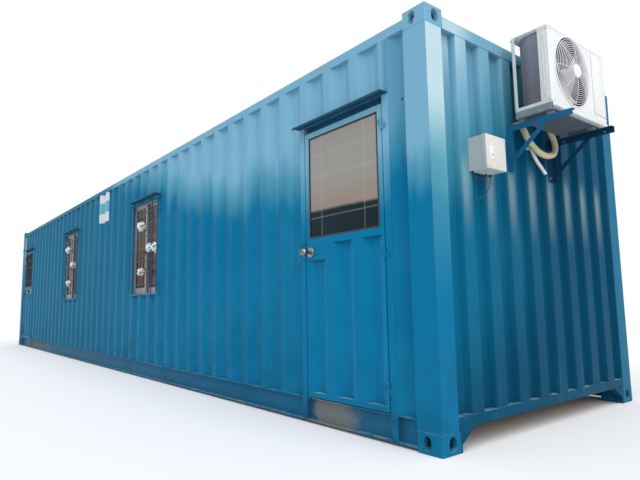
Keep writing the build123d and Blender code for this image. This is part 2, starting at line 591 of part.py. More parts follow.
with BuildPart() as door_heads_and_sills:
    for side in (-1, 1):
        clear = spread(side, OPENING_LATCH_X, OPENING_HINGE_X)
        between_stops = spread(side, OPENING_LATCH_X + STOP_REACH, OPENING_HINGE_X - STOP_REACH)
        block(clear, (-PLATE_Y, -LINING_Y), (HEAD_BASE, HEAD_TOP))
        block(clear, (-PLATE_Y, -FACE_Y + HEAD_RECESS), (HEAD_BASE, HEAD_TOP - HEAD_FLANGE),
              mode=Mode.SUBTRACT)
        block(between_stops, (-STOP_Y, -LINING_Y), (HEAD_BASE - STOP_REACH, HEAD_BASE))
        block(between_stops, (-STOP_Y, -LINING_Y), (SIDE_RAIL_TOP, SIDE_RAIL_TOP + SILL_LIP))
save(door_heads_and_sills.part, "door_heads_and_sills")


def hood(x, height, reach):
    """A rain hood: a flat plate with a lip turned down along its outer edge."""
    block(x, (-FACE_Y - reach, -FACE_Y), (height, height + HOOD_PLATE))
    block(x, (-FACE_Y - reach, -FACE_Y - reach + HOOD_PLATE), (height - HOOD_LIP, height))


with BuildPart() as rain_hoods:
    for side in (-1, 1):
        hood(spread(side, JAMB_LATCH_X - DOOR_HOOD_MARGIN, JAMB_HINGE_X), HEAD_TOP + HOOD_PLATE,
             DOOR_HOOD_REACH)
        middle = side * WINDOW_X
        hood((middle - SURROUND_X - WINDOW_HOOD_LEFT, middle + SURROUND_X + WINDOW_HOOD_RIGHT),
             SURROUND_TOP + WINDOW_HOOD_RISE, WINDOW_HOOD_REACH)
save(rain_hoods.part, "rain_hoods")

# ---------------------------------------------------------------- windows
with BuildPart() as window_surrounds:
    for side in (-1, 1):
        middle = side * WINDOW_X
        half = WINDOW_WIDTH / 2
        block((middle - SURROUND_X, middle + SURROUND_X), (-PLATE_Y, -LINING_Y),
              (SURROUND_BASE, SURROUND_TOP))
        block((middle - half, middle + half), (-PLATE_Y, -LINING_Y),
              (WINDOW_BASE, WINDOW_TOP), mode=Mode.SUBTRACT)
        block((middle - SURROUND_X - SURROUND_LEDGE_SIDE, middle + SURROUND_X + SURROUND_LEDGE_SIDE),
              (-FACE_Y - SURROUND_LEDGE_REACH, -FACE_Y),
              (SURROUND_BASE, SURROUND_BASE + SURROUND_LEDGE_THICKNESS))
save(window_surrounds.part, "window_surrounds")


def window_ring(x, y, z, stiles, rails):
    """A rectangular frame: widths of the left and right stiles, heights of the foot and head."""
    block(x, y, z)
    block((x[0] + stiles[0], x[1] - stiles[1]), y, (z[0] + rails[0], z[1] - rails[1]),
          mode=Mode.SUBTRACT)


frame_y = (-FACE_Y + WINDOW_FRAME_SETBACK, -FACE_Y + WINDOW_FRAME_SETBACK + WINDOW_FRAME_DEPTH)
outer_track = (frame_y[0] + SASH_TRACK_GAP / 2, frame_y[0] + SASH_TRACK_GAP / 2 + SASH_DEPTH)
inner_track = (outer_track[1] + SASH_TRACK_GAP, outer_track[1] + SASH_TRACK_GAP + SASH_DEPTH)
sash_z = (WINDOW_BASE + WINDOW_FRAME_FACE, WINDOW_TOP - WINDOW_FRAME_FACE)


def sashes(middle):
    """The x and y spans and the stiles of a window's outer and inner sash."""
    clear = WINDOW_WIDTH / 2 - WINDOW_FRAME_FACE
    return (((middle - clear, middle), outer_track, (SASH_STILE, SASH_MEETING_STILE)),
            ((middle - SASH_MEETING_STILE, middle + clear), inner_track,
             (SASH_MEETING_STILE, SASH_STILE)))


with BuildPart() as window_frames:
    for side in (-1, 1):
        middle, half = side * WINDOW_X, WINDOW_WIDTH / 2
        window_ring((middle - half, middle + half), frame_y, (WINDOW_BASE, WINDOW_TOP),
                    (WINDOW_FRAME_FACE, WINDOW_FRAME_FACE), (WINDOW_FRAME_FACE, WINDOW_FRAME_FACE))
save(window_frames.part, "window_frames")

with BuildPart() as window_sashes:
    for side in (-1, 1):
        for x, y, stiles in sashes(side * WINDOW_X):
            window_ring(x, y, sash_z, stiles, (SASH_FOOT, SASH_HEAD))
save(window_sashes.part, "window_sashes")

with BuildPart() as window_glass:
    for side in (-1, 1):
        for x, y, stiles in sashes(side * WINDOW_X):
            middle_y = (y[0] + y[1]) / 2
            block((x[0] + stiles[0], x[1] - stiles[1]),
                  (middle_y - PANE_THICKNESS / 2, middle_y + PANE_THICKNESS / 2),
                  (sash_z[0] + SASH_FOOT, sash_z[1] - SASH_HEAD))
save(window_glass.part, "window_glass")

with BuildPart() as window_grilles:
    for side in (-1, 1):
        middle, half = side * WINDOW_X, GRILLE_BAR / 2
        front_y = -FACE_Y - GRILLE_STANDOFF
        bar_y = (front_y - half, front_y + half)
        left = middle - WINDOW_WIDTH / 2 - GRILLE_LEFT
        inner_left = middle - WINDOW_WIDTH / 2 + GRILLE_INNER_LEFT
        inner_right = middle + WINDOW_WIDTH / 2 - GRILLE_INNER_RIGHT
        right = middle + WINDOW_WIDTH / 2 + GRILLE_RIGHT
        top, bottom = WINDOW_TOP - GRILLE_TOP_DROP, WINDOW_BASE + GRILLE_BOTTOM_RISE
        foot, head = WINDOW_BASE + GRILLE_RISE, WINDOW_TOP + GRILLE_RISE
        for x in (left, inner_left, inner_right, right):
            block((x - half, x + half), bar_y, (foot, head))
        for x in (left, right):
            block((x - half, x + half), (front_y, -FACE_Y), (head - GRILLE_BAR, head))
        for row in range(GRILLE_ROWS):
            z = top - row * (top - bottom) / (GRILLE_ROWS - 1)
            if row % GRILLE_LONG_EVERY:
                block((inner_left, inner_right), bar_y, (z - half, z + half))
                continue
            block((left - half, right + half), bar_y, (z - half, z + half))
            for x in (left, right):
                block((x - half, x + half), (front_y, -FACE_Y), (z - half, z + half))
save(window_grilles.part, "window_grilles")


# ---------------------------------------------------------------- doors
def door_trough(side, middle, base, top):
    """Cut one corrugation into the outer face of a leaf."""
    half = SIDE_OPENING / 2
    mouth, above = half + OVERCUT, -FACE_Y - OVERCUT
    centre = side * middle
    with BuildSketch(Plane.XY.offset(base), mode=Mode.PRIVATE) as section:
        with BuildLine():
            FilletPolyline((centre - mouth, above), (centre - half, -FACE_Y),
                           (centre - half + SIDE_SLOPE, -FACE_Y + SIDE_DEPTH),
                           (centre + half - SIDE_SLOPE, -FACE_Y + SIDE_DEPTH),
                           (centre + half, -FACE_Y), (centre + mouth, above),
                           radius=[0, BEND, BEND, 0])
            Line((centre - mouth, above), (centre + mouth, above))
        make_face()
    extrude(section.sketch, amount=top - base, mode=Mode.SUBTRACT)


def door_leaf(side, label):
    """A leaf with pressed troughs, a rebated window hole and the spindle's seat."""
    with BuildPart() as leaf:
        block(spread(side, LEAF_LATCH_X, LEAF_HINGE_X), (-FACE_Y, -LEAF_BACK_Y), (LEAF_BASE, LEAF_TOP))
        pitches = [k * SIDE_PITCH for k in range(int(LEAF_LATCH_X // SIDE_PITCH),
                                                 int(LEAF_HINGE_X // SIDE_PITCH) + 1)]
        inside = [x for x in pitches
                  if LEAF_LATCH_X < x - SIDE_OPENING / 2 and x + SIDE_OPENING / 2 < LEAF_HINGE_X]
        low_x, high_x = DOOR_GLASS_X
        low_z, high_z = DOOR_GLASS_Z
        for x in inside:
            drop = LOCK_TROUGH_DROP if x == inside[0] else DOOR_TROUGH_DROP
            door_trough(side, x, LEAF_BASE + DOOR_TROUGH_RISE, low_z - drop)
        shoulder = -FACE_Y + GLASS_SET_BACK + GLASS_THICKNESS
        block(spread(side, low_x, high_x), (-FACE_Y, shoulder), (low_z, high_z), mode=Mode.SUBTRACT)
        block(spread(side, low_x + GLASS_REBATE, high_x - GLASS_REBATE), (shoulder, -LEAF_BACK_Y),
              (low_z + GLASS_REBATE, high_z - GLASS_REBATE), mode=Mode.SUBTRACT)
        seat = Plane(origin=(side * KNOB_X, -FACE_Y, KNOB_Z), z_dir=(0, -1, 0))
        with BuildSketch(seat):
            Circle(SPINDLE_RADIUS + SPINDLE_CLEARANCE)
        extrude(amount=-SPINDLE_SEAT - SPINDLE_CLEARANCE, mode=Mode.SUBTRACT)
    save(leaf.part, label)


def door_glass(side, label):
    """The pane, held against the rebate's shoulder."""
    with BuildPart() as glass:
        front = -FACE_Y + GLASS_SET_BACK
        block(spread(side, *DOOR_GLASS_X), (front, front + GLASS_THICKNESS), DOOR_GLASS_Z)
    save(glass.part, label)


def hinge_disc(side, low, radius):
    """A disc on the hinge axis, kept apart from the part being built."""
    with BuildSketch(Plane(origin=(side * DOOR_HINGE_X, -HINGE_Y, low), z_dir=(0, 0, 1)),
                     mode=Mode.PRIVATE) as disc:
        Circle(radius)
    return disc.sketch


def hinge_leaves(side, label):
    """The three upper barrels and their tabs, which turn with the leaf."""
    with BuildPart() as barrels:
        for middle in HINGE_HEIGHTS:
            base, top = middle + HINGE_SPLIT / 2, middle + HINGE_LENGTH / 2
            extrude(hinge_disc(side, base, HINGE_RADIUS), amount=top - base)
            block(spread(side, LEAF_HINGE_X - HINGE_TAB, LEAF_HINGE_X),
                  (-FACE_Y - HINGE_TAB_THICKNESS, -FACE_Y), (base, top))
            block(spread(side, LEAF_HINGE_X - HINGE_RADIUS, LEAF_HINGE_X),
                  (-HINGE_Y, -FACE_Y), (base, top))
            extrude(hinge_disc(side, base, PIN_RADIUS + PIN_CLEARANCE), amount=PIN_LENGTH + HINGE_SPLIT,
                    mode=Mode.SUBTRACT)
    save(barrels.part, label)


with BuildPart() as door_hinge_pins:
    for side in (-1, 1):
        for middle in HINGE_HEIGHTS:
            low, high = middle - HINGE_LENGTH / 2, middle - HINGE_SPLIT / 2
            extrude(hinge_disc(side, low, HINGE_RADIUS), amount=high - low)
            extrude(hinge_disc(side, low, PIN_RADIUS), amount=high - low + PIN_LENGTH)
            block(spread(side, DOOR_HINGE_X, OPENING_HINGE_X + HINGE_TAB),
                  (-PLATE_Y - HINGE_TAB_THICKNESS, -PLATE_Y), (low, high))
save(door_hinge_pins.part, "door_hinge_pins")


def door_rose(side, label):
    """The round plate under a knob."""
    with BuildPart() as rose:
        with BuildSketch(Plane(origin=(side * KNOB_X, -FACE_Y, KNOB_Z), z_dir=(0, -1, 0))):
            Circle(ROSE_RADIUS)
            Circle(SPINDLE_RADIUS + SPINDLE_CLEARANCE, mode=Mode.SUBTRACT)
        extrude(amount=ROSE_THICKNESS)
        rim = rose.faces().sort_by(Axis.Y)[0].outer_wire().edges()
        fillet(rim, radius=ROSE_ROUND)
    save(rose.part, label)


def door_knob(side, label):
    """A turned knob on its spindle."""
    neck = ROSE_THICKNESS + KNOB_CLEARANCE
    shoulder = neck + NECK_LENGTH + KNOB_SHOULDER
    with BuildPart() as knob:
        plane = Plane(origin=(side * KNOB_X, -FACE_Y, KNOB_Z), x_dir=(1, 0, 0), z_dir=(0, 0, 1))
        with BuildSketch(plane):
            with BuildLine():
                Polyline((0, SPINDLE_SEAT), (SPINDLE_RADIUS, SPINDLE_SEAT), (SPINDLE_RADIUS, -neck),
                         (NECK_RADIUS, -neck), (NECK_WAIST, -neck - NECK_LENGTH),
                         (KNOB_RADIUS - KNOB_BEVEL, -shoulder),
                         (KNOB_RADIUS, -shoulder - KNOB_BELLY),
                         (KNOB_RADIUS, -KNOB_REACH + KNOB_SHOULDER),
                         (KNOB_RADIUS - KNOB_CROWN, -KNOB_REACH),
                         (0, -KNOB_REACH), close=True)
            make_face()
        revolve(axis=Axis((side * KNOB_X, -FACE_Y, KNOB_Z), (0, 1, 0)))
    save(knob.part, label)


for side, prefix in ((1, "near_door"), (-1, "far_door")):
    door_leaf(side, f"{prefix}_leaf")
    door_glass(side, f"{prefix}_glass")
    hinge_leaves(side, f"{prefix}_hinges")
    door_rose(side, f"{prefix}_rose")
    door_knob(side, f"{prefix}_knob")

# ---------------------------------------------------------------- air conditioner
with BuildPart() as ac_brackets:
    for y, inward in ((BRACKET_NEAR_Y, 1), (BRACKET_FAR_Y, -1)):
        wall = END_FACE_X
        tip = AC_FRONT_X + BRACKET_OVERHANG
        web = tuple(sorted((y, y + inward * BRACKET_THICKNESS)))
        ledge = tuple(sorted((y, y + inward * BRACKET_ANGLE)))
        leg = tuple(sorted((y, y + inward * BRACKET_LEG)))
        block((wall, wall + BRACKET_THICKNESS), leg, (BRACKET_FOOT, BRACKET_TOP))
        block((wall, wall + BRACKET_ANGLE), web, (BRACKET_FOOT, BRACKET_TOP))
        block((wall, tip), web, (BRACKET_TOP - BRACKET_ANGLE, BRACKET_TOP))
        block((wall, tip), ledge, (BRACKET_TOP - BRACKET_THICKNESS, BRACKET_TOP))
        with BuildSketch(Plane.XZ.offset(-web[1])):
            with BuildLine():
                low = BRACKET_FOOT + STRUT_FOOT
                high = BRACKET_TOP - BRACKET_ANGLE + STRUT_LAP
                Polyline((wall + STRUT_INSET, low), (wall + STRUT_TOP_REACH, high),
                         (wall + STRUT_TOP_REACH - STRUT_FACE, high),
                         (wall + STRUT_INSET, low + STRUT_FACE), close=True)
            make_face()
        extrude(amount=BRACKET_THICKNESS)
save(ac_brackets.part, "ac_brackets")

foot_ys = (BRACKET_NEAR_Y + BRACKET_ANGLE / 2, BRACKET_FAR_Y - BRACKET_ANGLE / 2)
with BuildPart() as ac_base_pan:
    pan_y = (AC_Y, AC_Y + AC_WIDTH)
    block((AC_REAR_X, AC_FRONT_X), pan_y, (AC_BASE - AC_PAN, AC_BASE))
    fillet(ac_base_pan.edges().filter_by(Axis.Z), radius=AC_CORNER)
    block((AC_REAR_X + AC_SHEET, AC_FRONT_X - AC_SHEET), (pan_y[0] + AC_SHEET, pan_y[1] - AC_SHEET),
          (PAN_TOP, AC_BASE), mode=Mode.SUBTRACT)
    for foot_y in foot_ys:
        for x in (AC_REAR_X + AC_FOOT_INSET, AC_FRONT_X - AC_FOOT_INSET):
            block((x - AC_FOOT_LENGTH / 2, x + AC_FOOT_LENGTH / 2),
                  (foot_y - AC_FOOT_WIDTH / 2, foot_y + AC_FOOT_WIDTH / 2),
                  (BRACKET_TOP, AC_BASE - AC_PAN))
save(ac_base_pan.part, "ac_base_pan")

with BuildPart() as ac_casing:
    block((AC_REAR_X, AC_FRONT_X), (AC_Y, AC_Y + AC_WIDTH), (AC_BASE, AC_TOP))
    fillet(ac_casing.edges().filter_by(Axis.Z), radius=AC_CORNER)
    fillet(ac_casing.faces().sort_by(Axis.Z)[-1].edges(), radius=AC_CORNER / 2)
    with BuildPart(mode=Mode.PRIVATE) as cavity:
        block((AC_REAR_X + AC_SHEET, AC_FRONT_X - AC_SHEET),
              (AC_Y + AC_SHEET, AC_Y + AC_WIDTH - AC_SHEET),
              (AC_BASE - OVERCUT, AC_TOP - 2 * AC_SHEET))
        fillet(cavity.edges().filter_by(Axis.Z), radius=AC_CORNER - AC_SHEET)
    add(cavity.part, mode=Mode.SUBTRACT)
    opening_z = (AC_BASE + CASE_OPENING_Z[0], AC_TOP - CASE_OPENING_Z[1])
    block((AC_REAR_X + SIDE_OPENING_X[0], AC_REAR_X + SIDE_OPENING_X[1]),
          (AC_Y - OVERCUT, AC_Y + AC_CORNER), opening_z, mode=Mode.SUBTRACT)
    block((AC_REAR_X - OVERCUT, AC_REAR_X + AC_CORNER),
          (AC_Y + REAR_OPENING_Y[0], AC_Y + REAR_OPENING_Y[1]), opening_z, mode=Mode.SUBTRACT)
    with BuildSketch(Plane(origin=(AC_FRONT_X - 2 * AC_SHEET, FAN_Y, FAN_Z), z_dir=(1, 0, 0))):
        Circle(FAN_OPENING_RADIUS)
    extrude(amount=3 * AC_SHEET, mode=Mode.SUBTRACT)
save(ac_casing.part, "ac_casing")

with BuildPart() as ac_coil:
    with BuildSketch(Plane.XY.offset(PAN_TOP)):
        with BuildLine(mode=Mode.PRIVATE) as coil_run:
            x = AC_REAR_X + COIL_INSET + COIL_THICKNESS / 2
            y = AC_Y + COIL_INSET + COIL_THICKNESS / 2
            FilletPolyline((x, y + COIL_REAR_REACH), (x, y), (x + COIL_SIDE_REACH, y), radius=COIL_CORNER)
        trace(coil_run.line, line_width=COIL_THICKNESS)
    extrude(amount=AC_TOP - COIL_TOP_GAP - PAN_TOP)
save(ac_coil.part, "ac_coil")

guard_inner = GUARD_RADIUS - GUARD_DEPTH
guard_middle = (GUARD_HUB_RADIUS + guard_inner) / 2


def guard_plane(angle):
    """A plane through the fan's axis: x runs outwards at an angle from +Y, and y along +X."""
    return Plane(origin=(AC_FRONT_X, FAN_Y, FAN_Z), x_dir=(0, cos(angle), sin(angle)),
                 z_dir=(0, sin(angle), -cos(angle)))


with BuildPart() as ac_fan_guard:
    with BuildLine(mode=Mode.PRIVATE) as dome:
        ThreePointArc((guard_inner + GUARD_WIRE, GUARD_DEPTH / 2), (guard_middle, GUARD_DOME),
                      (GUARD_HUB_RADIUS - GUARD_WIRE, GUARD_REACH - GUARD_WIRE * 1.5))
    with BuildSketch(guard_plane(pi / GUARD_SPOKES)):
        with Locations((guard_inner + GUARD_DEPTH / 2, GUARD_DEPTH / 2)):
            Rectangle(GUARD_DEPTH, GUARD_DEPTH)
        for index in range(1, GUARD_RINGS + 1):
            place = dome.line @ (index / (GUARD_RINGS + 1))
            with Locations((place.X, place.Y)):
                Circle(GUARD_WIRE / 2)
        with BuildLine():
            Polyline((0, GUARD_REACH - GUARD_HUB_SKIRT), (GUARD_HUB_RADIUS, GUARD_REACH - GUARD_HUB_SKIRT),
                     (GUARD_HUB_RADIUS, GUARD_REACH - GUARD_WIRE),
                     (GUARD_HUB_RADIUS - GUARD_WIRE, GUARD_REACH), (0, GUARD_REACH), close=True)
        make_face()
    revolve(axis=Axis((AC_FRONT_X, FAN_Y, FAN_Z), (1, 0, 0)))
    for index in range(GUARD_SPOKES):
        with BuildSketch(guard_plane(index * 2 * pi / GUARD_SPOKES)):
            with BuildLine():
                along = [dome.line @ (step / GUARD_SPOKE_RUNS) for step in range(GUARD_SPOKE_RUNS + 1)]
                Polyline(*[(place.X, place.Y + GUARD_RIB / 2) for place in along],
                         *[(place.X, place.Y - GUARD_RIB / 2) for place in reversed(along)],
                         close=True)
            make_face()
        extrude(amount=GUARD_WIRE / 2, both=True)
save(ac_fan_guard.part, "ac_fan_guard")

with BuildPart() as ac_fan:
    hub = Plane(origin=(FAN_BACK_X, FAN_Y, FAN_Z), x_dir=(0, 1, 0), z_dir=(1, 0, 0))
    with BuildSketch(hub):
        Circle(FAN_HUB_RADIUS)
    extrude(amount=FAN_HUB_DEPTH)
    fillet(ac_fan.faces().sort_by(Axis.X)[-1].edges(), radius=FAN_HUB_ROUND)
    with BuildSketch(hub):
        Circle(SHAFT_RADIUS)
    extrude(amount=-SHAFT_LENGTH)
    for index in range(FAN_BLADES):
        angle = FAN_TURN + index * 360 / FAN_BLADES
        middle_x = (FAN_BACK_X + FAN_FRONT_X) / 2
        outward = Vector(0, cos(radians(angle)), sin(radians(angle)))
        across = Vector(0, -sin(radians(angle)), cos(radians(angle)))
        chord = across * cos(radians(FAN_PITCH)) + Vector(1, 0, 0) * sin(radians(FAN_PITCH))
        root = FAN_HUB_RADIUS - BLADE_OVERLAP
        start = Vector(middle_x, FAN_Y, FAN_Z) + outward * root
        reach = FAN_RADIUS - root
        corner = FAN_RADIUS * cos(radians(BLADE_SPREAD)) - root
        half_width = FAN_RADIUS * sin(radians(BLADE_SPREAD)) / cos(radians(FAN_PITCH))
        lead, trail = (corner, -half_width), (corner, half_width)
        blade = Plane(origin=start, x_dir=outward, z_dir=outward.cross(chord))
        with BuildSketch(blade):
            with BuildLine():
                ThreePointArc((0, -BLADE_ROOT), (reach * 0.36, -BLADE_BELLY), lead)
                ThreePointArc(lead, (reach, 0), trail)
                ThreePointArc(trail, (reach * 0.36, BLADE_WAIST), (0, BLADE_ROOT))
                Line((0, BLADE_ROOT), (0, -BLADE_ROOT))
            make_face()
        extrude(amount=BLADE_THICKNESS / 2, both=True)
save(ac_fan.part, "ac_fan")

with BuildPart() as ac_fan_motor:
    motor_front = FAN_BACK_X - MOTOR_GAP
    post_middle = motor_front - MOTOR_DEPTH / 2
    post_x = (post_middle - MOTOR_POST_DEPTH / 2, post_middle + MOTOR_POST_DEPTH / 2)
    block(post_x, (FAN_Y - MOTOR_POST / 2, FAN_Y + MOTOR_POST / 2),
          (PAN_TOP, AC_TOP - 2 * AC_SHEET))
    with BuildSketch(Plane(origin=(motor_front, FAN_Y, FAN_Z), z_dir=(-1, 0, 0))):
        Circle(MOTOR_RADIUS)
    extrude(amount=MOTOR_DEPTH)
    with BuildSketch(Plane(origin=(motor_front, FAN_Y, FAN_Z), z_dir=(-1, 0, 0))):
        Circle(SHAFT_RADIUS + SHAFT_CLEARANCE)
    extrude(amount=SHAFT_LENGTH - MOTOR_GAP + SHAFT_END_GAP, mode=Mode.SUBTRACT)
save(ac_fan_motor.part, "ac_fan_motor")

# ---------------------------------------------------------------- electrical box
with BuildPart() as electrical_box:
    block((END_FACE_X, END_FACE_X + BOX_DEPTH), BOX_Y, BOX_Z)
    fillet(electrical_box.edges().filter_by(Axis.X), radius=BOX_CORNER)
save(electrical_box.part, "electrical_box")


# ---------------------------------------------------------------- pipes and wires
def tube(route, radius, label):
    """A round tube along straight runs joined by arcs as large as the runs allow."""
    points = [Vector(END_FACE_X + x, y, z) for x, y, z in route]
    radii = []
    for before, point, after in zip(points, points[1:], points[2:]):
        turn = (point - before).get_angle(after - point)
        shorter = min((point - before).length, (after - point).length)
        radii.append(BEND_SHARE * shorter / tan(radians(turn) / 2))
    print(label, "bend radii:", [round(value) for value in radii])
    with BuildPart() as piece:
        with BuildLine() as path:
            FilletPolyline(*points, radius=radii)
        with BuildSketch(Plane(origin=points[0], z_dir=points[1] - points[0])):
            Circle(radius)
        sweep(path=path.wire())
    length = path.wire().length
    print(label, "length", round(length), "volume ratio",
          round(piece.part.volume / (pi * radius ** 2 * length), 4))
    save(piece.part, label)


tube(((-END_DEPTH, *PIPE_ROUTE[0][1:]),) + PIPE_ROUTE, PIPE_RADIUS, "insulated_pipe")
tube(((0.0, *DRAIN_ROUTE[0][1:]),) + DRAIN_ROUTE, DRAIN_RADIUS, "drain_pipe")
tube(WIRE_LOOP_ROUTE, WIRE_RADIUS, "box_wire_loop")
tube(WIRE_TAIL_ROUTE, WIRE_RADIUS, "box_wire_tail")
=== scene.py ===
"""Finished model of a shipping container cabin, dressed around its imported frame."""

from __future__ import annotations

import json
import logging
import math
from dataclasses import dataclass
from enum import Enum
from typing import Any, Callable, Iterable, Sequence

import bmesh
import bpy
from mathutils import Matrix, Vector

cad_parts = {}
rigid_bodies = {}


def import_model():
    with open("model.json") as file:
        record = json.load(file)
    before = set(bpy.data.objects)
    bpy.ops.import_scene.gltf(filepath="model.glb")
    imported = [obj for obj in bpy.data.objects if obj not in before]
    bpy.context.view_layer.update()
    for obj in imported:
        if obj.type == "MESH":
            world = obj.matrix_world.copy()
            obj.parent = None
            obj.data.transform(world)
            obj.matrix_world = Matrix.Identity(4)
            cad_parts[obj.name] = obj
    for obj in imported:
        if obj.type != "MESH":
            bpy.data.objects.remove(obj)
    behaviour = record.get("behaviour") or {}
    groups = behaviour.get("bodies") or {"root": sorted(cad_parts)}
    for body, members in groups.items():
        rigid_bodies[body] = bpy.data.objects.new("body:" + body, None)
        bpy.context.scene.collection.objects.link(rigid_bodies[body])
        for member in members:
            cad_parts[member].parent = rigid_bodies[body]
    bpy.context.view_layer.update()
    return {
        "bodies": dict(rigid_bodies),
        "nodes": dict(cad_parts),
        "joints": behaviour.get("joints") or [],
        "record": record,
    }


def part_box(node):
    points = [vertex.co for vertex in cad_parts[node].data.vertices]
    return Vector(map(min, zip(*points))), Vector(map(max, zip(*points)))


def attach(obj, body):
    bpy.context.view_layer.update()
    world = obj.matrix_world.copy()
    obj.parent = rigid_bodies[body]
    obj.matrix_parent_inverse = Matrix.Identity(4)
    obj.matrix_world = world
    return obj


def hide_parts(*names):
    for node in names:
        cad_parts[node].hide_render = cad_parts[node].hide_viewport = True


LOG = logging.getLogger("container_cabin")
Colour = tuple[int, int, int]
Point = tuple[float, float, float]
Span = tuple[float, float]
Placed = tuple[Sequence[float], Sequence[float]]
UP, OUT_END, OUT_FRONT = Vector((0, 0, 1)), Vector((1, 0, 0)), Vector((0, -1, 0))
SIDES = (-1, 1)
SMOOTH, WELD_SMOOTH, CRUMPLE_SMOOTH = 35.0, 60.0, 50.0
BARS_ACROSS, BARS_DOWN = (0.19, 0.81), (0.19, 0.415, 0.81)


class Slot(str, Enum):
    """The record's material slots."""

    PAINT = "cabin_paint"
    ALUMINIUM = "aluminium_frame"
    WINDOW_GLASS = "window_glass"
    DOOR_GLASS = "door_glass"
    PLYWOOD = "plywood_floor"
    LINING = "lining_board"
    CHROME = "chrome_fittings"
    CASING = "white_casing"
    FINS = "coil_fins"
    FAN = "fan_plastic"
    GUARD = "guard_wire"
    MOTOR = "motor_steel"
    BOX = "box_plastic"
    FOAM = "pipe_foam"
    DRAIN = "drain_plastic"
    WIRE = "painted_wire"
    UNDERFLOOR = "underfloor_steel"


class Body(str, Enum):
    """The bodies that pieces ride on."""

    ROOT = "root"
    NEAR_DOOR = "near_door"
    NEAR_KNOB = "near_knob"
    FAR_DOOR = "far_door"
    FAR_KNOB = "far_knob"
    FAN = "ac_fan"


def srgb(colour: Colour) -> tuple[float, ...]:
    """Turn 8-bit screen values into a linear colour with full alpha."""
    shares = (part / 255 for part in colour)
    return (*(c / 12.92 if c <= 0.04045 else ((c + 0.055) / 1.055) ** 2.4 for c in shares), 1.0)


def about(middle: float, half: float) -> Span:
    """Give the span that reaches equally far to both sides of its middle."""
    return (middle - half, middle + half)


def placed(facing: Sequence[float], *places: Point) -> list[Placed]:
    """Pair each place with the direction that it faces."""
    return [(place, tuple(facing)) for place in places]


def joins(operation: str, swapped: bool = False) -> Callable[..., Value]:
    """Make a method that joins a value with another one in a Math node.

    Args:
        operation: What the node does.
        swapped: Whether the other value comes first.

    Returns:
        The method.
    """
    def method(self: Value, other: Any = 0.0) -> Value:
        """Join this value with another one."""
        return self.graph.math(operation, *((other, self) if swapped else (self, other)))
    return method


class Value:
    """An output in a node tree, joined to others with ordinary signs."""

    __add__, __mul__ = joins("ADD"), joins("MULTIPLY")
    __sub__, __rsub__ = joins("SUBTRACT"), joins("SUBTRACT", True)
    __truediv__, __rtruediv__ = joins("DIVIDE"), joins("DIVIDE", True)
    __lt__, __gt__, __pow__ = joins("LESS_THAN"), joins("GREATER_THAN"), joins("POWER")
    __abs__, fract, floor, most = joins("ABSOLUTE"), joins("FRACT"), joins("FLOOR"), joins("MAXIMUM")

    def __init__(self, graph: Graph, socket: bpy.types.NodeSocket) -> None:
        """Keep the output and its graph."""
        self.graph, self.socket = graph, socket

    def span(self, low: float, high: float) -> Value:
        """Map the value smoothly from low and high to 0 and 1."""
        inputs = {"Value": self, "From Min": low, "From Max": high}
        return self.graph.add("ShaderNodeMapRange", inputs, interpolation_type="SMOOTHSTEP")

    def parts(self) -> list[Value]:
        """Split a vector into its three parts."""
        return [Value(self.graph, part)
                for part in self.graph.node("ShaderNodeSeparateXYZ", {0: self}).outputs]


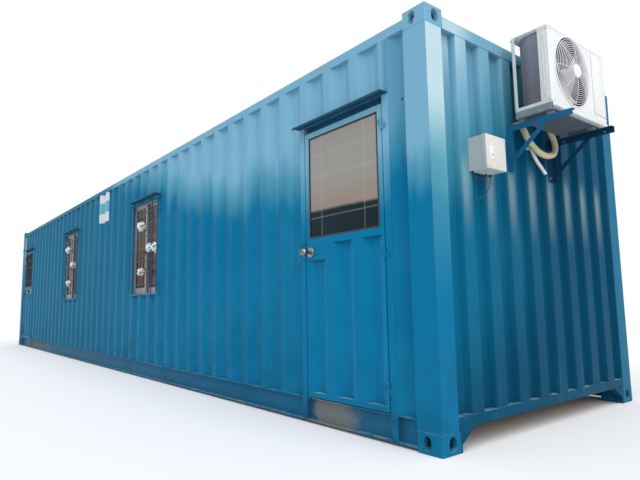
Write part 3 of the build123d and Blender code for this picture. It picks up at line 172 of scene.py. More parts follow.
class Graph:
    """Wires the nodes of one shader or geometry tree."""

    def __init__(self, tree: bpy.types.NodeTree) -> None:
        """Keep the tree that is being wired."""
        self.tree = tree

    def node(self, kind: str, inputs: dict[Any, Any] | None = None, **settings: Any) -> bpy.types.Node:
        """Add a node.

        Args:
            kind: Blender's class name of the node.
            inputs: Plain or linked values by input name or number.
            **settings: Properties of the node.

        Returns:
            The new node.
        """
        made = self.tree.nodes.new(kind)
        for name, value in settings.items():
            setattr(made, name, value)
        for key, value in (inputs or {}).items():
            self.feed(made.inputs[key], value)
        return made

    def feed(self, socket: bpy.types.NodeSocket, value: Any) -> None:
        """Link a socket, or set it to a plain value.

        Args:
            socket: The node's input.
            value: What it gets.
        """
        if isinstance(value, Value):
            self.tree.links.new(value.socket, socket)
        else:
            socket.default_value = value

    def add(self, kind: str, inputs: dict[Any, Any] | None = None, **settings: Any) -> Value:
        """Add a node and give its first output."""
        return Value(self, self.node(kind, inputs, **settings).outputs[0])

    def geo(self, kind: str, inputs: dict[Any, Any] | None = None, **settings: Any) -> Value:
        """Add a geometry node and give its first output."""
        return self.add(f"GeometryNode{kind}", inputs, **settings)

    def math(self, operation: str, first: Any, second: Any = 0.0, clamp: bool = False) -> Value:
        """Join two numbers with a Math node."""
        return self.add("ShaderNodeMath", {0: first, 1: second}, operation=operation, use_clamp=clamp)

    def vector(self, operation: str, first: Any, second: Any) -> Value:
        """Join two vectors with a Vector Math node."""
        return self.add("ShaderNodeVectorMath", {0: first, 1: second}, operation=operation)

    def combine(self, x: Any = 0.0, y: Any = 0.0, z: Any = 0.0) -> Value:
        """Make a vector of three numbers."""
        return self.add("ShaderNodeCombineXYZ", {0: x, 1: y, 2: z})

    def join(self, *geometries: Value) -> Value:
        """Join geometries into one.

        Args:
            *geometries: What is joined, linked in this order.

        Returns:
            The joined geometry.
        """
        both = self.node("GeometryNodeJoinGeometry")
        for geometry in geometries:
            self.feed(both.inputs[0], geometry)
        return Value(self, both.outputs[0])

    def blend(self, factor: Any, first: Any, second: Any) -> Value:
        """Blend two colours with a Mix node."""
        made = self.node("ShaderNodeMix", {0: factor, 6: first, 7: second}, data_type="RGBA")
        return Value(self, made.outputs[2])

    def noise(self, vector: Any, scale: Any, detail: float = 3.0, rough: float = 0.55) -> Value:
        """Give a noise value at a vector."""
        inputs = {"Vector": vector, "Scale": scale, "Detail": detail, "Roughness": rough}
        return self.add("ShaderNodeTexNoise", inputs)

    def within(self, offs: Sequence[Value], reach: float) -> Value:
        """Give 1 where the length of two offsets is less than a reach."""
        return offs[0] * offs[0] + offs[1] * offs[1] < reach ** 2


class Group:
    """A node group with named inputs and one output."""

    def __init__(self, kind: str, name: str, output: tuple[str, str], inputs: dict[str, Any]) -> None:
        """Make the group and its sockets.

        Args:
            kind: Shader or Geometry.
            name: The group's name.
            output: Name and kind of the output.
            inputs: Default value of each input, or its kind where it has none.
        """
        self.name, self.keys = name, {}
        self.tree = bpy.data.node_groups.new(name, f"{kind}NodeTree")
        self.graph = Graph(self.tree)
        face = self.tree.interface
        for label, value in inputs.items():
            if isinstance(value, tuple):
                sort = {3: "Vector", 4: "Color"}[len(value)]
            else:
                sort = {int: "Int", float: "Float"}.get(type(value), value)
            made = face.new_socket(label, in_out="INPUT", socket_type=f"NodeSocket{sort}")
            if not isinstance(value, str):
                made.default_value = value
            self.keys[label] = made.identifier
        face.new_socket(output[0], in_out="OUTPUT", socket_type=f"NodeSocket{output[1]}")
        self.inlet = self.tree.nodes.new("NodeGroupInput")

    def take(self, *labels: str) -> list[Value]:
        """Give the named inputs as they come into the group."""
        return [Value(self.graph, self.inlet.outputs[label]) for label in labels]

    def close(self, value: Value) -> Group:
        """End the group in its output."""
        self.graph.node("NodeGroupOutput", {0: value})
        return self


class Effects:
    """The shared shader effects, each built once."""

    def __init__(self) -> None:
        """Build every group."""
        self.clouds, self.runs, self.specks = self._clouds(), self._runs(), self._specks()
        self.grain, self.grime = self._grain(), self._grime()

    @staticmethod
    def _group(name: str, output: tuple[str, str] = ("Mask", "Float"), **inputs: Any) -> Group:
        """Make a shader group that takes a vector and more."""
        return Group("Shader", name, output, {"Vector": (0.0, 0.0, 0.0), **inputs})

    def _clouds(self) -> Group:
        """Uneven colour in broad and small clouds.

        Returns:
            The group.
        """
        made = self._group("uneven_colour", ("Colour", "Color"), Colour=(0.5, 0.5, 0.5, 1.0),
                           Shade=(0.4, 0.4, 0.4, 1.0), Scale=2.0, Amount=0.5)
        vector, colour, shade, scale, amount = made.take("Vector", "Colour", "Shade", "Scale", "Amount")
        broad = made.graph.noise(vector, scale, 2.0)
        small = made.graph.noise(vector, scale * 7.0, 4.0)
        factor = (broad * 0.65 + small * 0.35).span(0.36, 0.64) * amount
        return made.close(made.graph.blend(factor, colour, shade))

    def _runs(self) -> Group:
        """Rain streaks that hang down a surface.

        Returns:
            The group.
        """
        made = self._group("rain_streaks", Scale=20.0, Stretch=0.03, Cover=0.5)
        vector, scale, stretch, cover = made.take("Vector", "Scale", "Stretch", "Cover")
        graph = made.graph
        drawn = graph.vector("MULTIPLY", vector, graph.combine(1.0, 1.0, stretch))
        lines = graph.noise(drawn, scale, 3.0, 0.6).span(0.5, 0.72)
        above = graph.noise(vector, 1.3, 2.0) - (0.75 - cover * 0.5)
        return made.close(lines * graph.math("MULTIPLY", above, 5.0, clamp=True))

    def _specks(self) -> Group:
        """Small separate spots, such as splashes and chips.

        Returns:
            The group.
        """
        made = self._group("spots", Scale=60.0, Size=0.2, Cover=0.5)
        vector, scale, size, cover = made.take("Vector", "Scale", "Size", "Cover")
        distance = made.graph.add("ShaderNodeTexVoronoi", {"Vector": vector, "Scale": scale})
        wobble = made.graph.noise(vector, 90.0, 2.0) * 0.2
        return made.close((size > distance + wobble) * (cover > made.graph.noise(vector, 3.0, 3.0)))

    def _grain(self) -> Group:
        """Fine height of a sprayed, cast or moulded surface, with slow waves under it.

        Returns:
            The group.
        """
        made = self._group("surface_grain", ("Height", "Float"), Scale=300.0, Waves=6.0, Share=0.5)
        vector, scale, waves, share = made.take("Vector", "Scale", "Waves", "Share")
        fine, slow = (made.graph.noise(vector, size, 2.0) for size in (scale, waves))
        return made.close(fine * share + slow * (1.0 - share))

    def _grime(self) -> Group:
        """Dirt between two heights, broken up by noise.

        Returns:
            The group.
        """
        made = self._group("settled_dirt", Low=0.0, High=0.3, Scale=12.0, Amount=0.5)
        vector, low, high, scale, amount = made.take("Vector", "Low", "High", "Scale", "Amount")
        inputs = {"Value": vector.parts()[2], "From Min": high, "From Max": low}
        ramp = made.graph.add("ShaderNodeMapRange", inputs)
        broken = made.graph.noise(vector, scale, 4.0, 0.65).span(0.35, 0.7)
        return made.close(made.graph.math("MULTIPLY", ramp * broken, amount, clamp=True))


class Look:
    """The layers of one material while its finish is built."""

    def __init__(self, graph: Graph, effects: Effects, finish: Finish) -> None:
        """Start with the layers that every finish has.

        Args:
            graph: The material's graph.
            effects: The shared effects.
            finish: The finish's values.
        """
        self.graph, self.effects = graph, effects
        self.vector = self.coordinate("Object")
        self.x, self.y, self.z = self.vector.parts()
        self.colour = self.use(effects.clouds, colour=srgb(finish.colour), shade=srgb(finish.shade),
                               scale=finish.scale, amount=finish.uneven)
        swing = (self.noise(finish.scale * 9.0) - 0.5) * (finish.rough_swing * 2.0)
        self.rough = graph.math("ADD", swing, finish.rough, clamp=True)
        self.height = self.use(effects.grain, scale=finish.grain)

    def coordinate(self, kind: str) -> Value:
        """Give a coordinate of the object's own space."""
        return Value(self.graph, self.graph.node("ShaderNodeTexCoord").outputs[kind])

    def facing(self) -> list[Value]:
        """Give the three parts of the direction that the surface faces."""
        return Value(self.graph, self.graph.node("ShaderNodeNewGeometry").outputs["Normal"]).parts()

    def use(self, effect: Group, **values: Any) -> Value:
        """Place a shared effect.

        Args:
            effect: The effect's group.
            **values: Its inputs in small letters; the vector is the surface's own if not given.

        Returns:
            What the effect gives out.
        """
        made = self.graph.node("ShaderNodeGroup", node_tree=effect.tree)
        for label, value in {"vector": self.vector, **values}.items():
            self.graph.feed(made.inputs[label.capitalize()], value)
        return Value(self.graph, made.outputs[0])

    def runs(self, scale: float, stretch: float, cover: float, **more: Any) -> Value:
        """Give the mask of rain streaks."""
        return self.use(self.effects.runs, scale=scale, stretch=stretch, cover=cover, **more)

    def specks(self, scale: float, size: float, cover: float) -> Value:
        """Give the mask of spots."""
        return self.use(self.effects.specks, scale=scale, size=size, cover=cover)

    def grime(self, low: float, high: float, scale: float, amount: float) -> Value:
        """Give the mask of settled dirt."""
        return self.use(self.effects.grime, low=low, high=high, scale=scale, amount=amount)

    def noise(self, scale: float, detail: float = 3.0, rough: float = 0.55) -> Value:
        """Give noise at the surface's own vector."""
        return self.graph.noise(self.vector, scale, detail, rough)

    def stretched(self, stretch: Point, scale: float, detail: float = 3.0, rough: float = 0.55) -> Value:
        """Give noise that is drawn out along some directions."""
        drawn = self.graph.vector("MULTIPLY", self.vector, stretch)
        return self.graph.noise(drawn, scale, detail, rough)

    def paint(self, mask: Value, colour: Colour | Value) -> None:
        """Cover the surface with a colour where a mask shows it."""
        second = colour if isinstance(colour, Value) else srgb(colour)
        self.colour = self.graph.blend(mask, self.colour, second)

    def roughen(self, mask: Value) -> None:
        """Make the surface rougher where a mask shows it."""
        self.rough = self.graph.math("ADD", self.rough, mask, clamp=True)


@dataclass(frozen=True)
class Finish:
    """A procedural finish; subclasses add what their surface shows."""

    name: str
    slot: Slot
    colour: Colour
    shade: Colour
    scale: float = 2.0
    uneven: float = 0.5
    rough: float = 0.5
    rough_swing: float = 0.12
    metal: float = 0.0
    specular: float = 0.5
    transmission: float = 0.0
    grain: float = 300.0
    bump: float = 0.0004

    def material(self, effects: Effects) -> bpy.types.Material:
        """Give the finish's material, built on first use.

        Args:
            effects: The shared effects.

        Returns:
            The material.
        """
        found = bpy.data.materials.get(self.name)
        if found:
            return found
        made = bpy.data.materials.new(self.name)
        made.use_nodes = True
        graph = Graph(made.node_tree)
        look = Look(graph, effects, self)
        self.dress(look)
        inputs = {"Height": look.height, "Distance": self.bump, "Strength": 0.6}
        fed = {"Metallic": self.metal, "Specular IOR Level": self.specular,
               "Transmission Weight": self.transmission, "Base Color": look.colour,
               "Roughness": look.rough, "Normal": graph.add("ShaderNodeBump", inputs)}
        for label, value in fed.items():
            graph.feed(made.node_tree.nodes["Principled BSDF"].inputs[label], value)
        return made

    def dress(self, look: Look) -> None:
        """Add what this surface shows to its layers."""


@dataclass(frozen=True)
class CabinPaint(Finish):
    """Brushed enamel over old steel, streaked by rain and darker low down, with painted shade, chalk and
    painted sky sheen towards the top, painted highlights and glare, and dust and sheen on upward faces.
    """

    slot: Slot = Slot.PAINT
    colour: Colour = (5, 104, 145)
    shade: Colour = (18, 113, 152)
    scale: float = 0.9
    uneven: float = 0.8
    rough: float = 0.45
    specular: float = 0.04
    bump: float = 0.0012
    chalk_and_sheen: Colour = (130, 180, 204)
    chalk_and_sheen_amount: float = 0.78
    chalk_and_sheen_from: float = 1.5
    chalk_and_sheen_deep: float = 0.5
    thin_chalk_and_sheen: Colour = (44, 142, 158)
    thin_share: float = 1.6
    away_from: Point = (3.6, -1.05, 0.0)
    away_rate: Point = (0.3, -0.9, 0.0)
    away_shade: Colour = (36, 101, 130)
    away_shade_share: float = 0.75
    highlighted: float = 0.0
    calm_from: float = 99.0
    hollow: Span = (0.0, 0.001)
    hollow_share: float = 1.0
    glare: float = 0.0
    glare_high: Span = (1.62, 2.1)
    glare_under: Span = (0.75, 1.7)
    glare_low: float = 0.0
    dirt: Colour = (14, 82, 114)
    dirty: float = 0.6
    dirt_high: float = 0.9
    dust_and_sheen: Colour = (138, 176, 194)
    dust_and_sheen_amount: float = 0.5
    dust_and_sheen_scale: float = 14.0
    rust: float = 0.0
    slope_lift: float = 0.0
    slope_lift_colour: Colour = (34, 134, 178)
    streak: Colour = (2, 80, 116)
    pale_streak: Colour = (96, 166, 192)
    spot: Colour = (120, 160, 172)
    painted_highlight: Colour = (168, 186, 184)
    highlight_pitch: float = 0.25
    highlight_start: float = -0.94
    shine: Colour = (206, 228, 232)
    low_shine: Colour = (84, 152, 166)
    rusty: Colour = (92, 52, 32)

    def dress(self, look: Look) -> None:
        """Add painted shade, chalk and sky sheen, rain marks, darkening low down, painted highlights and
        glare, dust and sheen on upward faces, and rust.

        Args:
            look: The material's layers.
        """
        mask = self.shade_chalk_and_sheen(look)
        streaks = look.runs(scale=26.0, stretch=0.02, cover=0.6)
        look.paint(streaks * 0.2, self.streak)
        moved = look.graph.vector("ADD", look.vector, (7.0, 3.0, 1.0))
        look.paint(look.runs(scale=17.0, stretch=0.015, cover=0.5, vector=moved) * 0.1, self.pale_streak)
        look.paint(look.specks(scale=24.0, size=0.17, cover=0.47) * 0.1, self.spot)
        # Darker towards the bottom, in broken patches.
        look.paint(look.grime(low=0.05, high=self.dirt_high, scale=4.0, amount=self.dirty), self.dirt)
        # Painted light: slopes that face the far end are painted lighter, evening out their shade.
        if self.slope_lift:
            turned = look.coordinate("Normal").parts()[0]
            look.paint(turned.span(-0.1, -0.4) * self.slope_lift, self.slope_lift_colour)
        # Painted highlights: pale lines on the near end wall's corrugation, between 1.15 and 1.78 m high.
        if self.highlighted:
            share = ((look.y - self.highlight_start) / self.highlight_pitch).fract()
            line = share.span(0.0, 0.14) * share.span(0.5, 0.2)
            band = look.z.span(1.15, 1.6) * look.z.span(1.78, 1.6)
            look.paint(line * band * (look.x.span(0.0, 1.0) * self.highlighted), self.painted_highlight)
        facing_end, _, facing_up = look.facing()
        # Painted reflections of the sky on faces that look towards the near end, at the front corner.
        if self.glare:
            turned = facing_end.span(0.6, 0.9) * look.y.span(-0.7, -0.95)
            for heights, amount, tone in ((self.glare_under, self.glare_low, self.low_shine),
                                          (self.glare_high, self.glare, self.shine)):
                look.paint(look.z.span(*heights) * amount * turned, tone)
        # Paler on upward faces: partly dust, partly a painted reflection of the sky.
        patchy = look.noise(self.dust_and_sheen_scale, 4.0).span(0.3, 0.62)
        look.paint(facing_up.span(0.15, 0.8) * self.dust_and_sheen_amount * patchy, self.dust_and_sheen)
        if self.rust:
            eaten = look.specks(scale=38.0, size=0.26, cover=self.rust)
            look.paint(eaten * look.z.span(0.16, 0.02), self.rusty)
        look.roughen(mask * 0.12)
        look.height = look.height - streaks * 0.12

    def shade_chalk_and_sheen(self, look: Look) -> Value:
        """Paint shade away from the near corner, and chalk and sky sheen towards the top.

        Args:
            look: The material's layers.

        Returns:
            The mask of the chalk and painted sky sheen.
        """
        along, across, down = (
            ((start - value) * rate).most()
            for start, value, rate in zip(self.away_from, (look.x, look.y, look.z), self.away_rate))
        away = along.most(across) + down
        # Painted shade: darker away from the near corner, and on the end walls darker low down.
        look.paint(away.span(0.0, 1.3) * self.away_shade_share, self.away_shade)
        # Paler towards the top: partly chalk, partly a painted reflection of the sky.
        wobble = look.stretched((3.0, 3.0, 0.35), 1.6) * 0.6
        start = away + wobble + (self.chalk_and_sheen_from - 0.3)
        cover = ((look.z - start) / self.chalk_and_sheen_deep).span(0.0, 1.0)
        ends = abs(look.x)
        calm = ends.span(self.calm_from, self.calm_from + 0.04) * -0.45 + 1.0
        # Painted shade in the hollows of the corrugation: they get less of the pale sheen than the crests.
        proud = ends.span(*self.hollow) * (1.0 - self.hollow_share) + self.hollow_share
        mask = cover * self.chalk_and_sheen_amount * calm * proud
        look.paint(mask, self.chalk_and_sheen)
        look.paint(cover * (1.0 - cover) * (self.thin_share * self.chalk_and_sheen_amount), self.thin_chalk_and_sheen)
        return mask


@dataclass(frozen=True)
class RailPaint(CabinPaint):
    """The enamel of the bottom rails, with the dried mud that lies along their webs."""

    mud: Colour = (124, 124, 118)
    splash: Colour = (176, 178, 172)
    patches: tuple[Point, ...] = ((4.95, 5.34, 0.8), (-5.2, -3.2, 0.5))

    def dress(self, look: Look) -> None:
        """Add the mud and its pale splashes to the enamel of the front rail.

        Args:
            look: The material's layers.
        """
        super().dress(look)
        front = look.y < 0.0
        edge = look.x + (look.noise(22.0, 5.0, 0.7) - 0.5) * 0.25
        for low, high, amount in self.patches:
            inside = edge.span(low - 0.03, low + 0.02) * edge.span(high + 0.12, high - 0.1) * front
            look.paint(inside * amount, self.mud)
            look.roughen(inside * 0.3)
        near = look.x.span(4.6, 5.1) * look.x.span(5.9, 5.4)
        look.paint(look.specks(scale=70.0, size=0.25, cover=0.52) * (near * (front * 0.5)), self.splash)


@dataclass(frozen=True)
class BracketPaint(CabinPaint):
    """The enamel of the brackets, with painted shade on the far one."""

    far_shade: Colour = (18, 44, 76)
    far_shade_from: float = -0.1

    def dress(self, look: Look) -> None:
        """Darken the enamel beyond the unit's middle, as painted shade."""
        super().dress(look)
        look.paint((look.y > self.far_shade_from) * 0.8, self.far_shade)


@dataclass(frozen=True)
class Coating(Finish):
    """A factory coating, moulding or sheet with some dirt in its low and rough places, and painted shade on
    its faces that look along Y.
    """

    dirt: Colour = (120, 116, 108)
    dirty: float = 0.25
    low: float = 2.0
    high: float = 2.6
    streaked: float = 0.15
    # Amount of painted shade on faces that look along Y.
    sides: float = 0.0
    side_shade: Colour = (142, 160, 164)

    def dress(self, look: Look) -> None:
        """Add settled dirt, faint rain streaks, fine spots and painted shade on faces that look along Y.

        Args:
            look: The material's layers.
        """
        dirt = look.grime(low=self.low, high=self.high, scale=26.0, amount=self.dirty)
        look.paint(dirt, self.dirt)
        look.paint(look.runs(scale=70.0, stretch=0.04, cover=0.7) * self.streaked, self.dirt)
        look.paint(look.specks(scale=110.0, size=0.16, cover=0.46) * self.dirty, self.dirt)
        # Painted shade: faces that look along Y are painted darker.
        if self.sides:
            look.paint(abs(look.facing()[1]).span(0.5, 0.95) * self.sides, self.side_shade)
        look.roughen(dirt * 0.3)


@dataclass(frozen=True)
class DrawnMetal(Finish):
    """Metal with the fine lines of its drawing or polishing along one direction."""

    lines: Point = (1.0, 1.0, 0.02)
    line_scale: float = 400.0
    tarnish: float = 0.2

    def dress(self, look: Look) -> None:
        """Add drawn lines and dull patches.

        Args:
            look: The material's layers.
        """
        drawn = look.stretched(self.lines, self.line_scale, 2.0)
        look.paint(drawn.span(0.45, 0.7) * 0.18, self.shade)
        dull = look.specks(scale=55.0, size=0.3, cover=0.5)
        look.paint(dull * self.tarnish, self.shade)
        look.roughen(dull * 0.15)
        look.height = look.height + drawn * 0.6


@dataclass(frozen=True)
class Coil(DrawnMetal):
    """The coil's metal, with painted shade on the faces inside the casing."""

    upper: Colour = (150, 156, 178)
    # Painted shade on the coil's faces inside the casing.
    inside: Colour = (44, 46, 62)
    bend: Span = (6.307, -0.291)
    middle: float = 0.12

    def dress(self, look: Look) -> None:
        """Paint shade on what lies behind the outer faces, and pale the upper fins.

        Args:
            look: The material's layers.
        """
        super().dress(look)
        look.paint(look.z.span(2.1, 2.6) * 0.5, self.upper)
        offs = [(start - value).most() for start, value in zip(self.bend, (look.x, look.y))]
        look.paint(look.graph.within(offs, self.middle), self.inside)


@dataclass(frozen=True)
class Boarding(Finish):
    """Timber or board with grain along one direction and joints between its pieces."""

    grain_run: Point = (0.06, 1.0, 1.0)
    grain_dark: float = 0.6
    pitch: float = 0.0
    joint: float = 0.004
    joint_colour: Colour = (40, 30, 22)

    def dress(self, look: Look) -> None:
        """Add grain, and a dark joint every pitch along X.

        Args:
            look: The material's layers.
        """
        figure = look.stretched(self.grain_run, 30.0, 5.0, 0.62).span(0.35, 0.7)
        look.paint(figure * self.grain_dark, self.shade)
        if self.pitch:
            near = (look.x / self.pitch).fract() < self.joint / self.pitch
            look.paint(near, self.joint_colour)
            look.height = look.height - near
        look.height = look.height - figure * 0.25


@dataclass(frozen=True)
class BoardedPane(Finish):
    """A brown tinted pane with rows of boards showing through it."""

    low_colour: Colour = (86, 34, 38)
    gap: Colour = (30, 28, 30)
    board: float = 0.085
    shelf: float = 0.142
    transmission: float = 0.12
    change: float = 1.5

    def dress(self, look: Look) -> None:
        """Add the boards, the gaps between them and the change of colour low down.

        Args:
            look: The material's layers.
        """
        wobble = look.noise(5.0, 2.0) * 0.14
        look.paint((look.z + wobble).span(self.change + 0.1, self.change - 0.02), self.low_colour)
        row = look.x / self.board
        tone = look.graph.add("ShaderNodeTexWhiteNoise", {"W": row.floor()}, noise_dimensions="1D")
        look.paint(tone * 0.55, self.shade)
        look.paint((row.fract() < 0.12) * 0.7, self.gap)
        cross = ((look.z / self.shelf).fract() < 0.13) * (tone > 0.45)
        look.paint(cross * 0.6, self.gap)
        look.paint(look.runs(scale=90.0, stretch=0.03, cover=0.9) * 0.5, self.gap)


@dataclass(frozen=True)
class PaintedReflectionPane(Finish):
    """A tinted pane with a painted warm grey sky reflection down to a wavy lower edge."""

    painted_reflection: Colour = (153, 151, 147)
    painted_reflection_low: Colour = (150, 136, 126)
    reflection_edge: float = 1.483
    reflection_slope: float = 0.013
    pane: str = "near_door_glass"
    bar: float = 0.0055
    bar_colour: Colour = (190, 200, 198)
    transmission: float = 0.1

    def dress(self, look: Look) -> None:
        """Add the painted reflection and its edge over the dark pane, and the bars that show through.

        Args:
            look: The material's layers.
        """
        # Painted reflection of the sky, warm grey, down to a wavy edge.
        level = look.z + (look.x - 5.3) * self.reflection_slope + look.noise(4.0) * 0.02
        painted_reflection = look.graph.blend(look.z.span(1.48, 1.75), srgb(self.painted_reflection_low), srgb(self.painted_reflection))
        look.paint(level.span(self.reflection_edge, self.reflection_edge + 0.03), painted_reflection)
        low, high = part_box(self.pane)
        lines = [(look.x, low.x + share * (high.x - low.x)) for share in BARS_ACROSS]
        lines += [(look.z, high.z - share * (high.z - low.z)) for share in BARS_DOWN]
        for value, middle in lines:
            look.paint(abs(value - middle).span(self.bar, self.bar * 0.6) * 0.17, self.bar_colour)


@dataclass(frozen=True)
class CasePaint(Coating):
    """The unit's outer enamel, over bare grey sheet on the casing's inside, darkened as painted shade."""

    # The casing's inside: bare grey sheet, darkened as painted shade.
    inside: Colour = (58, 60, 74)
    middle: Span = (6.299, -0.045)
    half: Span = (0.131, 0.385)
    corner: float = 0.014
    margin: float = 0.0017
    under_lid: float = 2.5661

    def dress(self, look: Look) -> None:
        """Show the bare sheet, darkened as painted shade, inside the casing's rounded outline.

        Args:
            look: The material's layers.
        """
        super().dress(look)
        offs = [(abs(value - middle) - (half - self.corner)).most()
                for value, middle, half in zip((look.x, look.y), self.middle, self.half)]
        inner = look.graph.within(offs, self.corner - self.margin) * (look.z < self.under_lid)
        look.paint(inner, self.inside)


@dataclass(frozen=True)
class LaggedFoam(Finish):
    """Foam pipe lagging with creases round it and sun-yellowed patches."""

    creased: Colour = (206, 204, 178)
    stain: Colour = (118, 110, 84)

    def dress(self, look: Look) -> None:
        """Add creases and a chalky skin.

        Args:
            look: The material's layers.
        """
        crease = look.noise(34.0, 4.0, 0.7).span(0.42, 0.62)
        look.paint(crease * 0.35, self.creased)
        look.paint(look.specks(scale=30.0, size=0.34, cover=0.46) * 0.4, self.stain)
        look.height = look.height + crease


DOOR_BLUE, DOOR_BLUE_SHADE = (3, 109, 152), (12, 114, 156)
ENAMEL, ENAMEL_SHADE = (231, 233, 232), (216, 222, 224)
WALL_PAINT = CabinPaint("paint_on_long_walls", calm_from=5.72, chalk_and_sheen_from=1.54)
ROOF_PAINT = CabinPaint("paint_on_roof", dust_and_sheen_amount=0.2, dust_and_sheen_scale=1.7, uneven=0.5)
# Painted shade: the end walls are darker than the long walls, darker still away from the near corner and
# low down, with less sheen in the hollows; their crests carry painted highlights and glare.
END_SHADED_PAINT = CabinPaint(
    "paint_on_end_walls", colour=(9, 101, 135), shade=(18, 108, 141), away_from=(3.6, -1.05, 0.9),
    away_rate=(0.3, -0.9, 1.2), chalk_and_sheen_from=1.2, chalk_and_sheen_deep=0.8, away_shade=(6, 66, 95), away_shade_share=0.85,
    dirt=(6, 56, 82), dirty=0.5, dirt_high=0.6, dust_and_sheen_amount=0.8, highlighted=0.36, hollow=(6.058, 6.086),
    hollow_share=0.7, glare=0.6, glare_high=(2.05, 2.6))
# Its glare paints reflections of the sky on the near post's end face.
POST_PAINT = CabinPaint("paint_on_frame", colour=(4, 110, 153), chalk_and_sheen_from=1.38, chalk_and_sheen_deep=0.38,
                        glare=0.7, glare_low=0.6)
CASTING_PAINT = CabinPaint("paint_on_castings", colour=(12, 100, 140), chalk_and_sheen_from=1.4, rust=0.46,
                           bump=0.003, grain=140.0)
RAIL_PAINT = RailPaint("paint_on_bottom_rails", colour=(18, 94, 130), shade=(32, 104, 140),
                       dirty=0.25, dirt=(60, 84, 96))
# The doors' slopes that face the far end are painted lighter: painted light.
DOOR_PAINT = CabinPaint("paint_on_doors", colour=DOOR_BLUE, shade=DOOR_BLUE_SHADE, chalk_and_sheen_from=1.4,
                        rough=0.4, dirty=0.5, dust_and_sheen_amount=0.9, slope_lift=0.7)
FITTING_PAINT = CabinPaint("paint_on_fittings", colour=(30, 82, 114), shade=(40, 94, 126),
                           chalk_and_sheen_amount=0.0, dirty=0.1, dust_and_sheen_amount=0.3)
JAMB_PAINT = CabinPaint("paint_on_jambs", colour=DOOR_BLUE, shade=DOOR_BLUE_SHADE, chalk_and_sheen_from=1.4,
                        dirty=1.4, dirt=(22, 84, 116), dirt_high=0.4)
# Paler towards the top: a painted highlight on the hinges.
HINGE_PAINT = CabinPaint("paint_on_hinges", colour=(14, 106, 148), shade=(24, 114, 154), chalk_and_sheen_amount=0.45,
                         dust_and_sheen_amount=0.9)
# Lighter than the long walls: painted light that offsets the shade in the window reveals.
SURROUND_LIT_PAINT = CabinPaint("paint_on_surrounds", colour=(30, 118, 158), shade=(42, 126, 164),
                            chalk_and_sheen_amount=0.0, dirty=0.0)
# Darker and greyer than the walls: painted shade for the shaded hoods.
HOOD_SHADE_PAINT = CabinPaint("paint_on_hoods", colour=(36, 72, 98), shade=(44, 84, 112), chalk_and_sheen_amount=0.0,
                        dust_and_sheen_amount=0.9)
BRACKET_PAINT = BracketPaint("paint_on_brackets", colour=(24, 86, 132), shade=(34, 96, 142),
                             chalk_and_sheen_amount=0.0, dirty=0.0, dust_and_sheen_amount=0.0)
ALUMINIUM = DrawnMetal("window_aluminium", Slot.ALUMINIUM, (158, 150, 150), (120, 114, 116),
                       rough=0.36, metal=0.25, tarnish=0.25, specular=0.3)
CHROME = DrawnMetal("polished_fittings", Slot.CHROME, (152, 150, 148), (96, 94, 92), rough=0.2,
                    rough_swing=0.04, metal=1.0, tarnish=0.3, bump=0.0001)
BRASS = DrawnMetal("key_metal", Slot.CHROME, (182, 178, 166), (120, 114, 100), rough=0.25,
                   metal=1.0, tarnish=0.3, bump=0.0001)
SCREW = DrawnMetal("screw_zinc", Slot.CHROME, (160, 162, 164), (104, 104, 104), rough=0.35,
                   metal=0.8, bump=0.0001)
WINDOW_PANE = BoardedPane("window_panes", Slot.WINDOW_GLASS, (116, 86, 54), (68, 50, 38), scale=5.0,
                          rough=0.12, rough_swing=0.04, specular=0.08, bump=0.0001)
DOOR_PANE = PaintedReflectionPane("near_door_pane", Slot.DOOR_GLASS, (16, 38, 48), (10, 26, 34), scale=3.0,
                       rough=0.1, rough_swing=0.03, specular=0.06, bump=0.0001)
DARK_PANE = PaintedReflectionPane("far_door_pane", Slot.DOOR_GLASS, (26, 40, 50), (16, 28, 36), scale=3.0,
                       rough=0.3, rough_swing=0.03, specular=0.0, bump=0.0001, reflection_edge=9.0,
                       pane="far_door_glass")
PLYWOOD = Boarding("floor_plywood", Slot.PLYWOOD, (168, 132, 92), (112, 78, 48), rough=0.38, pitch=1.22)
LINING = Boarding("wall_lining", Slot.LINING, (214, 209, 198), (194, 188, 176), rough=0.48,
                  grain_run=(1.0, 1.0, 0.05), grain_dark=0.25)
CASING = Coating("white_enamel", Slot.CASING, ENAMEL, ENAMEL_SHADE, scale=3.0, rough=0.3, dirty=0.2,
                 low=2.03, high=2.2, sides=0.3)
CASE = CasePaint("case_enamel", Slot.CASING, ENAMEL, ENAMEL_SHADE, scale=3.0, rough=0.3, dirty=0.2,
                 low=2.03, high=2.2, sides=0.3)
HUB_WHITE = Coating("hub_enamel", Slot.CASING, (252, 252, 252), (246, 247, 248), rough=0.35,
                    dirty=0.05, streaked=0.02)
PAN_SHADE = Coating("pan_enamel", Slot.CASING, (128, 142, 150), (100, 112, 120), scale=8.0,
                    rough=0.45, dirty=0.5, low=1.98, high=2.1, dirt=(74, 74, 72))
PAN_RIBS = Coating("pan_underside", Slot.CASING, (96, 108, 122), (80, 92, 106), scale=8.0, rough=0.6,
                   dirty=0.4)
